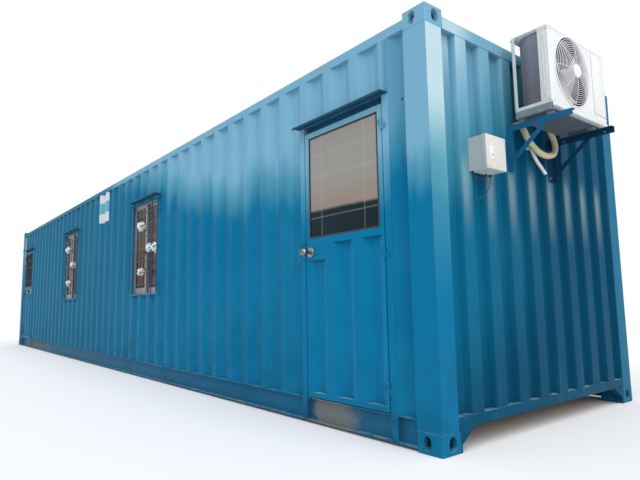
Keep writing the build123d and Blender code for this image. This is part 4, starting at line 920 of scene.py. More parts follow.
# Painted shade: dark grey stands for the shade round the fan's rim.
SHROUD_SHADE = Coating("fan_shroud", Slot.CASING, (52, 54, 66), (40, 42, 54), rough=0.6, dirty=0.3)
FINS = Coil("coil_metal", Slot.FINS, (118, 120, 132), (92, 92, 102), scale=14.0, rough=0.55,
            metal=0.1, tarnish=0.4, lines=(1.0, 1.0, 1.0), line_scale=160.0)
FAN_GREY = Coating("fan_moulding", Slot.FAN, (212, 210, 218), (200, 198, 208), scale=10.0,
                   rough=0.42, dirty=0.3, low=2.1, high=2.5)
GUARD_WIRE = Coating("guard_coating", Slot.GUARD, (228, 226, 231), (214, 212, 220), rough=0.4,
                     dirty=0.15)
MOTOR = Coating("motor_enamel", Slot.MOTOR, (64, 66, 72), (48, 50, 56), rough=0.45)
BOX = Coating("box_moulding", Slot.BOX, (216, 215, 209), (206, 204, 197), scale=6.0, rough=0.32,
              dirty=0.25, low=1.6, high=1.72, sides=0.7)
BOX_WINDOW = Coating("box_strip", Slot.BOX, (236, 236, 232), (226, 226, 220), rough=0.2, dirty=0.1,
                     low=1.6, high=1.7)
LAMP_RED = Coating("lamp_red", Slot.BOX, (200, 30, 52), (150, 14, 34), rough=0.2, dirty=0.1)
RUBBER = Coating("black_rubber", Slot.BOX, (26, 28, 31), (40, 42, 44), rough=0.6, dirty=0.2,
                 dirt=(56, 58, 60))
FOAM = LaggedFoam("lagging_foam", Slot.FOAM, (204, 197, 158), (186, 178, 140), scale=7.0,
                  rough=0.8, specular=0.2, bump=0.003)
DRAIN = Coating("drain_pipe_plastic", Slot.DRAIN, (226, 230, 228), (206, 212, 210), scale=12.0,
                rough=0.35, low=1.68, high=1.9)
WIRE = Coating("painted_cable", Slot.WIRE, (22, 70, 96), (30, 84, 110), rough=0.5, low=1.4, high=1.6)
UNDERFLOOR = Coating("underfloor_coating", Slot.UNDERFLOOR, (38, 52, 60), (62, 50, 42), scale=5.0,
                     rough=0.75, dirty=0.6, low=0.0, high=0.25, dirt=(104, 88, 70), bump=0.002)
PAPER = Coating("crumpled_sheet", Slot.ALUMINIUM, (226, 230, 236), (196, 204, 214), scale=16.0,
                rough=0.7, dirty=0.15, streaked=0.0, bump=0.002)
PLATE = Coating("plain_plate", Slot.CASING, (196, 210, 216), (180, 196, 204), scale=5.0, rough=0.4,
                dirty=0.2)
PLATE_BAND = Coating("plate_band", Slot.PAINT, (66, 150, 176), (92, 168, 188), scale=8.0, rough=0.4,
                     dirty=0.2)

SLOT_FINISH = {finish.slot: finish for finish in (
    FITTING_PAINT, ALUMINIUM, WINDOW_PANE, DOOR_PANE, PLYWOOD, LINING, CHROME, CASING, FINS,
    FAN_GREY, GUARD_WIRE, MOTOR, BOX, FOAM, DRAIN, WIRE, UNDERFLOOR)}
FINISH_NODES = {
    WALL_PAINT: ("front_wall_panels", "front_wall_over_doors", "front_wall_at_windows", "back_wall"),
    END_SHADED_PAINT: ("end_walls", "end_rails", "end_gussets"),
    POST_PAINT: ("corner_posts", "top_side_rails"),
    ROOF_PAINT: ("roof",),
    CASTING_PAINT: ("corner_castings_bottom", "corner_castings_top"),
    RAIL_PAINT: ("bottom_side_rails",),
    JAMB_PAINT: ("door_jambs",),
    DOOR_PAINT: ("near_door_leaf", "far_door_leaf"),
    CASE: ("ac_casing",),
    PAN_SHADE: ("ac_base_pan",),
    BRACKET_PAINT: ("ac_brackets",),
    DARK_PANE: ("far_door_glass",),
    HOOD_SHADE_PAINT: ("rain_hoods",),
    SURROUND_LIT_PAINT: ("window_surrounds",),
    HINGE_PAINT: ("near_door_hinges", "far_door_hinges", "door_hinge_pins"),
}
NODE_FINISH = {node: finish for finish, nodes in FINISH_NODES.items() for node in nodes}


class Shape:
    """Collects the solid shapes of one piece in a bmesh."""

    def __init__(self) -> None:
        """Start an empty piece."""
        self.mesh = bmesh.new()

    def slab(self, x: Span, y: Span, z: Span, rounding: float = 0.0, steps: int = 2) -> Shape:
        """Add a block between low and high values.

        Args:
            x: Its span along X.
            y: Its span along Y.
            z: Its span along Z.
            rounding: Radius of its edges.
            steps: Facets of a rounded edge.

        Returns:
            This shape.
        """
        made = bmesh.ops.create_cube(self.mesh, size=1.0)["verts"]
        low, high = (Vector(ends) for ends in zip(x, y, z))
        size, middle = high - low, (low + high) / 2
        for vert in made:
            vert.co = vert.co * size + middle
        if rounding:
            edges = list(dict.fromkeys(edge for vert in made for edge in vert.link_edges))
            bmesh.ops.bevel(self.mesh, geom=edges, offset=rounding, segments=steps, profile=0.5,
                            affect="EDGES")
        return self

    def lathe(self, profile: Iterable[Span], centre: Vector, axis: Vector, steps: int = 32) -> Shape:
        """Add a closed turned shape.

        Args:
            profile: Radius and place along the axis, from one pole to the other.
            centre: The point that the places are measured from.
            axis: Direction of the axis.
            steps: Sides of the turned shape.

        Returns:
            This shape.
        """
        turn = UP.rotation_difference(axis)
        angles = [2 * math.pi * k / steps for k in range(steps)]
        rings = []
        for radius, along in profile:
            around = angles if radius > 0 else angles[:1]
            rings.append([self.mesh.verts.new(centre + turn @ Vector((
                radius * math.cos(a), radius * math.sin(a), along))) for a in around])
        for low, high in zip(rings, rings[1:]):
            for k in range(steps):
                corners = [ring[step % len(ring)] for ring, step in
                           ((low, k), (low, k + 1), (high, k + 1), (high, k))]
                unique = list(dict.fromkeys(corners))
                if len(unique) > 2:
                    self.mesh.faces.new(unique)
        return self

    def skin(self, rows: Sequence[Sequence[Point]], closed: bool) -> list[list[bmesh.types.BMVert]]:
        """Join rows of points, and the last row with the first, by four-sided faces.

        Args:
            rows: The rows, all of one length.
            closed: Whether each row is a loop.

        Returns:
            The rows' corners.
        """
        made = [[self.mesh.verts.new(point) for point in row] for row in rows]
        count = len(made[0])
        for low, high in zip(made, made[1:] + made[:1]):
            for k in range(count if closed else count - 1):
                after = (k + 1) % count
                self.mesh.faces.new((low[k], low[after], high[after], high[k]))
        return made

    def ring(self, outer: tuple[Span, Span], inner: tuple[Span, Span], depth: Span) -> Shape:
        """Add a rectangular ring that lies flat on the long wall.

        Args:
            outer: X and Z spans of the outside.
            inner: X and Z spans of the hole.
            depth: Y span.

        Returns:
            This shape.
        """
        front, back = depth
        self.skin([[(x[0], y, z[0]), (x[1], y, z[0]), (x[1], y, z[1]), (x[0], y, z[1])]
                   for (x, z), y in ((outer, front), (inner, front), (inner, back), (outer, back))], True)
        return self

    def sheet(self, line: Sequence[Span], z: Span, thickness: float) -> Shape:
        """Add a thin sheet that follows a line seen from above.

        Args:
            line: X and Y of the sheet's back.
            z: Its lower and upper edges.
            thickness: How far its face stands out towards -Y.

        Returns:
            This shape.
        """
        corners = ((0.0, z[0]), (thickness, z[0]), (thickness, z[1]), (0.0, z[1]))
        rows = self.skin([[(x, y - out, level) for x, y in line] for out, level in corners], False)
        for end in (0, -1):
            self.mesh.faces.new([row[end] for row in rows])
        return self

    def done(self, name: str) -> bpy.types.Mesh:
        """Close the piece.

        Args:
            name: The mesh's name.

        Returns:
            The mesh, with merged doubles and outward faces.
        """
        bmesh.ops.remove_doubles(self.mesh, verts=self.mesh.verts, dist=1e-6)
        bmesh.ops.recalc_face_normals(self.mesh, faces=self.mesh.faces)
        made = bpy.data.meshes.new(name)
        self.mesh.to_mesh(made)
        self.mesh.free()
        soften(made, SMOOTH)
        return made


def soften(mesh: bpy.types.Mesh, angle: float) -> None:
    """Shade a mesh smoothly where its faces meet within an angle in degrees."""
    mesh.polygons.foreach_set("use_smooth", [True] * len(mesh.polygons))
    mesh.set_sharp_from_angle(angle=math.radians(angle))


class Bench:
    """Turns meshes into pieces: gives them a finish and a body."""

    def __init__(self, effects: Effects) -> None:
        """Keep the shared effects for the finishes."""
        self.effects, self.count = effects, 0

    def place(self, name: str, data: bpy.types.ID, finish: Finish, body: Body = Body.ROOT,
              replaces: Iterable[str] = ()) -> bpy.types.Object:
        """Make a piece of a mesh or curve that is already in place.

        Args:
            name: The piece's name.
            data: Its mesh or curve.
            finish: Its finish.
            body: The body it rides on.
            replaces: CAD nodes that it stands for.

        Returns:
            The piece.
        """
        if not data.materials:
            data.materials.append(finish.material(self.effects))
        made = bpy.data.objects.new(name, data)
        bpy.context.scene.collection.objects.link(made)
        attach(made, body.value)
        if replaces:
            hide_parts(*replaces)
        self.count += 1
        LOG.info("%s on %s", name, body.value)
        return made

    def dress_nodes(self, frame: dict[str, Any]) -> None:
        """Give every CAD node its finish, by its name or its material slot.

        Args:
            frame: The loaded frame, with its nodes and its record.
        """
        slots = {part["node"]: Slot(part["material_slot"]) for part in frame["record"]["subparts"]}
        for name, node in frame["nodes"].items():
            finish = NODE_FINISH.get(name, SLOT_FINISH[slots[name]])
            node.data.materials.clear()
            node.data.materials.append(finish.material(self.effects))


class Repeat(Group):
    """A Geometry Nodes tree for something that repeats, and the tools to run it once."""

    def __init__(self, name: str, **inputs: Any) -> None:
        """Make the tree, with inputs for its points, its values and its material.

        Args:
            name: The tree's name.
            **inputs: Default value of each input.
        """
        super().__init__("Geometry", name, ("Geometry", "Geometry"),
                         {"Geometry": "Geometry", **inputs, "Material": "Material"})
        self.tree.is_modifier = True

    def close(self, value: Value) -> Repeat:
        """End the tree in Realize Instances and Set Material.

        Args:
            value: The geometry so far.

        Returns:
            The tree.
        """
        inputs = {"Geometry": self.graph.geo("RealizeInstances", {0: value}),
                  "Material": self.take("Material")[0]}
        return super().close(self.graph.geo("SetMaterial", inputs))

    def on_points(self, instance: Value, scale: Any = (1.0, 1.0, 1.0)) -> Value:
        """Put an instance on each given point, its Z along the point's stored facing.

        Args:
            instance: What is put on the points.
            scale: Its size on each point.

        Returns:
            The instances.
        """
        stored = self.graph.geo("InputNamedAttribute", {"Name": "facing"}, data_type="FLOAT_VECTOR")
        turn = self.graph.add("FunctionNodeAlignRotationToVector", {"Vector": stored}, axis="Z")
        inputs = {"Points": self.take("Geometry")[0], "Instance": instance, "Rotation": turn,
                  "Scale": scale}
        return self.graph.geo("InstanceOnPoints", inputs)

    def run(self, bench: Bench, name: str, finish: Finish, values: dict[str, Any],
            points: Sequence[Placed] = (), body: Body = Body.ROOT, replaces: Iterable[str] = (),
            smooth: float = SMOOTH) -> None:
        """Run the tree and keep its result as a plain mesh.

        Args:
            bench: Makes the piece.
            name: The piece's name.
            finish: Its finish.
            values: Values of the tree's inputs.
            points: Places and facing directions, for trees that repeat on points.
            body: The body it rides on.
            replaces: CAD nodes that it stands for.
            smooth: Smoothing angle in degrees.
        """
        start = bpy.data.meshes.new(f"{name}_points")
        start.from_pydata([place for place, _ in points], [], [])
        if points:
            facing = start.attributes.new("facing", "FLOAT_VECTOR", "POINT")
            facing.data.foreach_set("vector", [part for _, way in points for part in way])
        maker = bpy.data.objects.new(f"{name}_maker", start)
        bpy.context.scene.collection.objects.link(maker)
        modifier = maker.modifiers.new(self.name, "NODES")
        modifier.node_group = self.tree
        for label, value in {**values, "Material": finish.material(bench.effects)}.items():
            modifier[self.keys[label]] = value
        evaluated = maker.evaluated_get(bpy.context.evaluated_depsgraph_get())
        made = bpy.data.meshes.new_from_object(evaluated)
        made.name = name
        maker.modifiers.clear()
        bpy.data.objects.remove(maker)
        if "facing" in made.attributes:
            made.attributes.remove(made.attributes["facing"])
        soften(made, smooth)
        bench.place(name, made, finish, body, replaces)


class Repeats:
    """The Geometry Nodes trees, each built once."""

    def __init__(self) -> None:
        """Build every tree."""
        self.row, self.screws, self.beads = self._row(), self._screws(), self._beads()
        self.fins, self.guard, self.lumps = self._fins(), self._guard(), self._lumps()

    @staticmethod
    def _row() -> Repeat:
        """Blocks of one size in a straight row.

        Returns:
            The tree.
        """
        made = Repeat("row_of_blocks", Count=4, Start=(0.0, 0.0, 0.0), Step=(0.1, 0.0, 0.0),
                      Size=(0.01, 0.01, 0.01))
        graph = made.graph
        count, start, step, size = made.take("Count", "Start", "Step", "Size")
        inputs = {"Count": count, "Start Location": start, "Offset": step}
        line, block = graph.geo("MeshLine", inputs, mode="OFFSET"), graph.geo("MeshCube", {"Size": size})
        return made.close(graph.geo("InstanceOnPoints", {"Points": line, "Instance": block}))

    @staticmethod
    def _screws() -> Repeat:
        """Domed screw heads on washers, at stored places.

        Returns:
            The tree.
        """
        made = Repeat("screw_heads", Radius=0.005)
        graph = made.graph
        (radius,) = made.take("Radius")
        inputs = {"Vertices": 12, "Radius": radius, "Depth": radius * 0.3}
        washer = graph.geo("MeshCylinder", inputs)
        dome = graph.geo("MeshUVSphere", {"Segments": 10, "Rings": 5, "Radius": radius * 0.72})
        flat = graph.geo("Transform", {"Geometry": dome, "Scale": (1.0, 1.0, 0.6)})
        return made.close(made.on_points(graph.join(washer, flat)))

    @staticmethod
    def _beads() -> Repeat:
        """Overlapping weld ripples of uneven size, at stored places.

        Returns:
            The tree.
        """
        made = Repeat("weld_beads", Radius=0.004, Seed=3)
        radius, seed = made.take("Radius", "Seed")
        ball = made.graph.geo("MeshIcoSphere", {"Radius": radius, "Subdivisions": 1})
        inputs = {"Min": (0.7, 0.7, 0.4), "Max": (1.3, 1.3, 0.8), "Seed": seed}
        size = made.graph.add("FunctionNodeRandomValue", inputs, data_type="FLOAT_VECTOR")
        return made.close(made.on_points(ball, size))

    @staticmethod
    def _fins() -> Repeat:
        """Thin upright fins along a run that turns one corner, seen from above.

        Returns:
            The tree.
        """
        made = Repeat("coil_fin_run", Corner=(0.0, 0.0, 0.0), Rear=0.5, Side=0.1, Bend=0.06,
                      Pitch=0.004, Size=(0.02, 0.001, 0.4))
        graph = made.graph
        corner, rear, side, bend, pitch, size = made.take("Corner", "Rear", "Side", "Bend", "Pitch", "Size")
        ends = [graph.vector("ADD", corner, off)
                for off in (graph.combine(y=rear), graph.combine(), graph.combine(x=side))]
        first, second = (graph.geo("CurvePrimitiveLine", {"Start": start, "End": end})
                         for start, end in zip(ends, ends[1:]))
        mesh = graph.geo("CurveToMesh", {"Curve": graph.join(second, first)})
        path = graph.geo("MeshToCurve", {0: graph.geo("MergeByDistance", {0: mesh})})
        bent = graph.geo("FilletCurve", {"Curve": path, "Radius": bend, "Count": 8}, mode="POLY")
        inputs = {"Curve": bent, "Length": pitch}
        points = graph.node("GeometryNodeCurveToPoints", inputs, mode="LENGTH").outputs
        along = {"Vector": Value(graph, points["Tangent"])}
        turn = graph.add("FunctionNodeAlignRotationToVector", along, axis="Y", pivot_axis="Z")
        inputs = {"Points": Value(graph, points[0]), "Instance": graph.geo("MeshCube", {"Size": size}),
                  "Rotation": turn}
        return made.close(graph.geo("InstanceOnPoints", inputs))

    @staticmethod
    def _guard() -> Repeat:
        """A domed wire guard: rings and curved spokes round an axis along X.

        Returns:
            The tree.
        """
        made = Repeat("domed_wire_guard", Rings=24, Inner=0.05, Outer=0.23, Crown=0.034, Rim=0.004,
                      Wire=0.0012, Spokes=8, Rib=0.0017, Centre=(0.0, 0.0, 0.0))
        graph = made.graph
        rings, inner, outer, crown, rim = made.take("Rings", "Inner", "Outer", "Crown", "Rim")
        wire, spokes, rib, centre = made.take("Wire", "Spokes", "Rib", "Centre")
        fullness, spoke_points = 2.6, 12

        def points(count: Any) -> tuple[Value, Value]:
            """Give points at the origin, and each one's number."""
            inputs = {"Count": count, "Offset": (0.0, 0.0, 0.0)}
            return graph.geo("MeshLine", inputs, mode="OFFSET"), graph.geo("InputIndex")

        def dome(share: Value) -> tuple[Value, Value]:
            """Give the dome's radius and height at a share of the way in from the rim."""
            return outer - (outer - inner) * share, crown - (crown - rim) * (1.0 - share) ** fullness

        def drawn(path: Value, radius: Value, sides: int) -> Value:
            """Give a path a round section with closed ends.

            Args:
                path: The path.
                radius: The section's radius.
                sides: The section's sides.

            Returns:
                The solid wire.
            """
            section = graph.geo("CurvePrimitiveCircle", {"Resolution": sides, "Radius": radius})
            inputs = {"Curve": path, "Profile Curve": section, "Fill Caps": True}
            return graph.geo("CurveToMesh", inputs)

        line, index = points(rings)
        radius, height = dome(index / (rings - 1.0))
        circle = graph.geo("CurvePrimitiveCircle", {"Resolution": 56, "Radius": 1.0})
        put = graph.geo("SetPosition", {"Geometry": line, "Position": graph.combine(z=height)})
        inputs = {"Points": put, "Instance": circle, "Scale": graph.combine(radius, radius, 1.0)}
        loops = graph.geo("RealizeInstances", {0: graph.geo("InstanceOnPoints", inputs)})

        line, index = points(spoke_points)
        radius, height = dome(index / float(spoke_points - 1))
        inputs = {"Geometry": line, "Position": graph.combine(x=radius, z=height)}
        spoke = drawn(graph.geo("MeshToCurve", {0: graph.geo("SetPosition", inputs)}), rib, 6)
        line, index = points(spokes)
        turn = graph.combine(z=index * (2 * math.pi / spokes))
        inputs = {"Points": line, "Instance": spoke, "Rotation": turn}
        both = graph.join(drawn(loops, wire, 5), graph.geo("InstanceOnPoints", inputs))
        inputs = {"Geometry": both, "Translation": centre, "Rotation": (0.0, math.pi / 2, 0.0)}
        return made.close(graph.geo("Transform", inputs))

    @staticmethod
    def _lumps() -> Repeat:
        """Crumpled lumps of uneven size, at stored places.

        Returns:
            The tree.
        """
        made = Repeat("crumpled_lumps", Radius=0.05, Crumple=0.03, Seed=5)
        graph = made.graph
        radius, crumple, seed = made.take("Radius", "Crumple", "Seed")
        ball = graph.geo("MeshIcoSphere", {"Radius": radius, "Subdivisions": 4})
        solid = graph.geo("RealizeInstances", {0: made.on_points(ball)})
        moved = graph.vector("ADD", graph.geo("InputPosition"), graph.combine(x=seed))
        sharp = graph.add("ShaderNodeTexVoronoi", {"Vector": moved, "Scale": 42.0})
        push = (graph.noise(moved, 17.0, 1.0) * 1.5 + sharp * -0.5 - 0.62) * crumple
        inputs = {0: graph.geo("InputNormal"), "Scale": push}
        offset = graph.add("ShaderNodeVectorMath", inputs, operation="SCALE")
        return made.close(graph.geo("SetPosition", {"Geometry": solid, "Offset": offset}))


@dataclass
class Studio:
    """Camera, plain floor and soft light."""

    eye: Point = (7.9715, -3.5444, 0.8304)
    turn: float = 51.156
    rise: float = 6.855
    roll: float = -0.936
    lens: float = 29.716
    surround: float = 0.6
    sun_strength: float = 2.25
    sun_from: Point = (0.56, -0.36, 0.745)
    sun_spread: float = 75.0
    floor_half: float = 200.0
    floor_top: float = -0.0006

    @staticmethod
    def stand(name: str, data: bpy.types.ID) -> bpy.types.Object:
        """Put a camera, a light or the floor in the scene.

        Args:
            name: The object's name.
            data: What it shows.

        Returns:
            The object.
        """
        made = bpy.data.objects.new(name, data)
        bpy.context.scene.collection.objects.link(made)
        return made

    def camera(self) -> None:
        """Stand the camera in front of the near corner, looking a little upwards."""
        turn, rise, roll = (math.radians(value) for value in (self.turn, self.rise, self.roll))
        ahead = Vector((-math.sin(turn) * math.cos(rise), math.cos(turn) * math.cos(rise), math.sin(rise)))
        level = Vector((math.cos(turn), math.sin(turn), 0.0))
        upright = level.cross(ahead)
        right = level * math.cos(roll) + upright * math.sin(roll)
        above = upright * math.cos(roll) - level * math.sin(roll)
        place = Matrix((right, above, -ahead)).transposed().to_4x4()
        place.translation = Vector(self.eye)
        data = bpy.data.cameras.new("camera")
        data.lens, data.sensor_width, data.clip_end = self.lens, 36.0, 1000.0
        bpy.context.scene.camera = self.stand("camera", data)
        bpy.context.scene.camera.matrix_world = place

    def light(self) -> None:
        """Light the object softly, and show a white surround to the camera, gloss and glass."""
        scene = bpy.context.scene
        scene.view_settings.view_transform = "Standard"
        scene.world = bpy.data.worlds.new("surround")
        scene.world.use_nodes = True
        graph = Graph(scene.world.node_tree)
        rays = graph.node("ShaderNodeLightPath").outputs
        camera, gloss, glass = (Value(graph, rays[f"Is {kind} Ray"])
                                for kind in ("Camera", "Glossy", "Transmission"))
        soft, white = (graph.add("ShaderNodeBackground", {"Color": srgb(tone), "Strength": strength})
                       for tone, strength in (((250, 252, 255), self.surround), ((255, 255, 255), 1.0)))
        mixed = graph.add("ShaderNodeMixShader", {0: camera.most(gloss).most(glass), 1: soft, 2: white})
        graph.feed(scene.world.node_tree.nodes["World Output"].inputs[0], mixed)
        data = bpy.data.lights.new("soft_key", "SUN")
        data.energy, data.angle = self.sun_strength, math.radians(self.sun_spread)
        made = self.stand("soft_key", data)
        made.rotation_euler = Vector(self.sun_from).to_track_quat("Z", "Y").to_euler()

    def floor(self) -> None:
        """Lay the pale floor just under the castings."""
        mesh = bpy.data.meshes.new("studio_floor")
        corners = [(x * self.floor_half, y * self.floor_half, self.floor_top)
                   for x, y in ((-1, -1), (1, -1), (1, 1), (-1, 1))]
        mesh.from_pydata(corners, [], [(0, 1, 2, 3)])
        material = bpy.data.materials.new("studio_floor")
        material.use_nodes = True
        shader = material.node_tree.nodes["Principled BSDF"]
        for label, value in (("Base Color", srgb((247, 247, 247))), ("Roughness", 0.9),
                             ("Specular IOR Level", 0.1)):
            shader.inputs[label].default_value = value
        mesh.materials.append(material)
        self.stand("studio_floor", mesh)


@dataclass
class Assembly:
    """A sub-assembly, with the bench and the trees that it is built with."""

    bench: Bench
    repeats: Repeats

    def shape(self, name: str, shape: Shape, finish: Finish, body: Body = Body.ROOT) -> None:
        """Close a shape and make a piece of it."""
        self.bench.place(name, shape.done(name), finish, body)


@dataclass
class BoxWires(Assembly):
    """The two thin wires under the electrical box."""

    diameter: float = 0.005
    loop_length: float = 0.186
    tail_length: float = 0.232
    loop_route: tuple[Point, ...] = (
        (6.108, -0.840, 1.617), (6.108, -0.840, 1.597), (6.109, -0.814, 1.578),
        (6.110, -0.771, 1.574), (6.110, -0.731, 1.581), (6.108, -0.700, 1.598),
        (6.108, -0.700, 1.617))
    tail_route: tuple[Point, ...] = (
        (6.110, -0.660, 1.617), (6.110, -0.660, 1.595), (6.110, -0.667, 1.565),
        (6.110, -0.682, 1.531), (6.110, -0.708, 1.497), (6.109, -0.746, 1.469),
        (6.108, -0.792, 1.443))

    def wire(self, name: str, route: Sequence[Point], length: float, far_end: str) -> None:
        """Lay one wire along its route.

        Args:
            name: The CAD node that the wire replaces.
            route: Control points, from the exit.
            length: The wire's length; not used.
            far_end: What is on its far end; not used.
        """
        curve = bpy.data.curves.new(f"{name}_line", "CURVE")
        curve.dimensions, curve.use_fill_caps = "3D", True
        curve.bevel_depth, curve.bevel_resolution = self.diameter / 2, 3
        line = curve.splines.new("NURBS")
        line.points.add(len(route) - 1)
        for point, place in zip(line.points, route):
            point.co = (*place, 1.0)
        line.order_u, line.resolution_u, line.use_endpoint_u = 3, 12, True
        piece = self.bench.place(f"{name}_cable", curve, WIRE, replaces=(name,))
        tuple(route[0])

    def build(self) -> None:
        """Lay both wires."""
        self.wire("box_wire_loop", self.loop_route, self.loop_length, "object")
        self.wire("box_wire_tail", self.tail_route, self.tail_length, "bare")


@dataclass
class AirConditioner(Assembly):
    """The outdoor unit's guard, panels, pan, coil and screws."""

    rings: int = 15
    spokes: int = 8
    wire: float = 0.002
    hub: float = 0.047
    shroud: Span = (0.228, 0.231)
    shroud_depth: Span = (-0.002, -0.028)
    fin_pitch: float = 0.0035
    fin_inset: float = 0.0006
    bend: float = 0.131
    lip: float = 0.0022
    skirt: float = 0.026
    slots: int = 46
    slot_pitch: float = 0.016
    ribs: int = 50
    rib_pitch: float = 0.015
    seam: float = 0.0012
    panel_side: float = 0.578
    panel_foot: float = 0.043
    rib_places: Span = (0.046, 0.029)
    mark_places: Span = (0.062, 0.07)
    screw: float = 0.0042
    bolt: float = 0.008
    bolt_places: Span = (6.189, 6.473)

    def __post_init__(self) -> None:
        """Read the places of the unit's nodes."""
        self.low, self.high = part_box("ac_casing")
        guard_low, guard_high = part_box("ac_fan_guard")
        middle = (guard_low + guard_high) / 2
        self.radius = (guard_high.z - guard_low.z) / 2
        self.crown = guard_high.x - self.high.x
        self.centre = Vector((self.high.x, middle.y, middle.z))

    def guard(self) -> None:
        """Build the wire guard, its rim, the shroud behind it in dark painted shade, and the plain hub cap.
        """
        r, c, h = self.radius, self.crown, self.hub
        values = {"Rings": self.rings, "Inner": h - 0.004, "Outer": r - 0.007, "Crown": c - 0.005,
                  "Rim": 0.005, "Wire": self.wire, "Spokes": self.spokes, "Centre": tuple(self.centre)}
        self.repeats.guard.run(self.bench, "ac_guard_wires", GUARD_WIRE, values, replaces=("ac_fan_guard",))
        rim = ((r - 0.010, 0.0), (r - 0.009, 0.006), (r - 0.006, 0.009), (r - 0.003, 0.0085),
               (r, 0.005), (r, 0.0), (r - 0.010, 0.0))
        inner, outer = self.shroud
        front, back = self.shroud_depth
        shroud = ((inner, front), (inner + 0.001, back), (outer, back), (outer, front), (inner, front))
        cap = ((0.0, c - 0.012), (h * 0.98, c - 0.012), (h, c - 0.008), (h * 0.97, c - 0.003),
               (h * 0.9, c - 0.001), (h * 0.6, c), (0.0, c))
        for name, profile, steps, finish in (("ac_guard_rim", rim, 96, CASING),
                                             ("ac_fan_shroud", shroud, 96, SHROUD_SHADE),
                                             ("ac_guard_hub", cap, 64, HUB_WHITE)):
            self.shape(name, Shape().lathe(profile, self.centre, OUT_END, steps), finish)

    def panels(self) -> None:
        """Build the side ribs, handle marks, lid lip, service panel and its seams."""
        low, high, lip = self.low, self.high, self.lip
        shape = Shape()
        for x in (high.x - inset for inset in self.rib_places):
            shape.slab(about(x, 0.0025), (low.y - 0.0025, low.y + 0.001), (low.z + 0.035, high.z - 0.03),
                       0.001)
        for z in (low.z + self.mark_places[0], high.z - self.mark_places[1]):
            shape.slab((high.x - 0.049, high.x - 0.032), (low.y - 0.004, low.y + 0.001), about(z, 0.014),
                       0.003)
        shape.slab((low.x - lip, high.x + lip), (low.y - lip, high.y + lip),
                   (high.z - 0.022, high.z - 0.018), 0.001)
        shape.slab((high.x - 0.001, high.x + 0.0018), (low.y + self.panel_side + 0.004, high.y - 0.012),
                   (low.z + self.panel_foot + 0.004, high.z - 0.028), 0.0008)
        self.shape("ac_side_ribs", shape, CASING)
        side, foot = low.y + self.panel_side, low.z + self.panel_foot
        front = (high.x - 0.001, high.x + 0.0007)
        shape = Shape().slab(front, about(side, self.seam), (foot, high.z - 0.026))
        shape.slab(front, (side, high.y - 0.01), about(foot, self.seam))
        self.shape("ac_panel_seams", shape, PAN_SHADE)

    def pan(self) -> None:
        """Build the front skirt with its slots, and the ribs under the pan."""
        low, high = self.low, self.high
        shape = Shape().slab((high.x - 0.003, high.x + 0.0006), (low.y + 0.002, high.y - 0.002),
                             (low.z - self.skirt, low.z + 0.002), 0.0004)
        self.shape("ac_front_skirt", shape, CASING)
        values = {"Count": self.slots, "Start": (high.x + 0.0007, low.y + 0.025, low.z - 0.021),
                  "Step": (0.0, self.slot_pitch, 0.0), "Size": (0.0012, 0.0075, 0.009)}
        self.repeats.row.run(self.bench, "ac_skirt_slots", PAN_SHADE, values)
        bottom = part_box("ac_base_pan")[0].z + 0.025
        values = {"Count": self.ribs, "Start": ((low.x + high.x) / 2, low.y + 0.02, bottom - 0.001),
                  "Step": (0.0, self.rib_pitch, 0.0), "Size": (high.x - low.x - 0.02, 0.005, 0.003)}
        self.repeats.row.run(self.bench, "ac_pan_ribs", PAN_RIBS, values)

    def coil(self) -> None:
        """Line the coil's outer faces with thin fins."""
        low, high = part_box("ac_coil")
        values = {"Corner": (low.x + self.fin_inset, low.y + self.fin_inset, (low.z + high.z) / 2),
                  "Rear": high.y - low.y - 0.004, "Side": high.x - low.x - 0.004, "Bend": self.bend,
                  "Pitch": self.fin_pitch, "Size": (0.004, 0.0006, high.z - low.z - 0.008)}
        self.repeats.fins.run(self.bench, "ac_coil_fins", FINS, values)

    def screws(self) -> None:
        """Put screws in the casing's corners and in the far bracket's arm."""
        low, high, proud = self.low, self.high, 0.0004
        places = placed(OUT_END, *((high.x + proud, y, z) for y in (low.y + 0.022, high.y - 0.022)
                                   for z in (low.z + 0.014, high.z - 0.034)))
        places += placed(OUT_FRONT, *((x, low.y - proud, z) for x in (low.x + 0.015, high.x - 0.014)
                                      for z in (low.z + 0.012, high.z - 0.034)))
        self.repeats.screws.run(self.bench, "ac_screws", SCREW, {"Radius": self.screw}, places)
        low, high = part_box("ac_brackets")
        web = high.y - 0.004
        places = placed(OUT_FRONT, *((x, web - proud, high.z - 0.021) for x in self.bolt_places))
        places += placed(OUT_END, *((low.x + 0.0044, y, z) for y in (low.y + 0.05, web - 0.046)
                                    for z in (low.z + 0.03, high.z - 0.08)))
        self.repeats.screws.run(self.bench, "bracket_bolts", SCREW, {"Radius": self.bolt}, places)

    def build(self) -> None:
        """Build every piece of the unit."""
        for job in (self.guard, self.panels, self.pan, self.coil, self.screws):
            job()


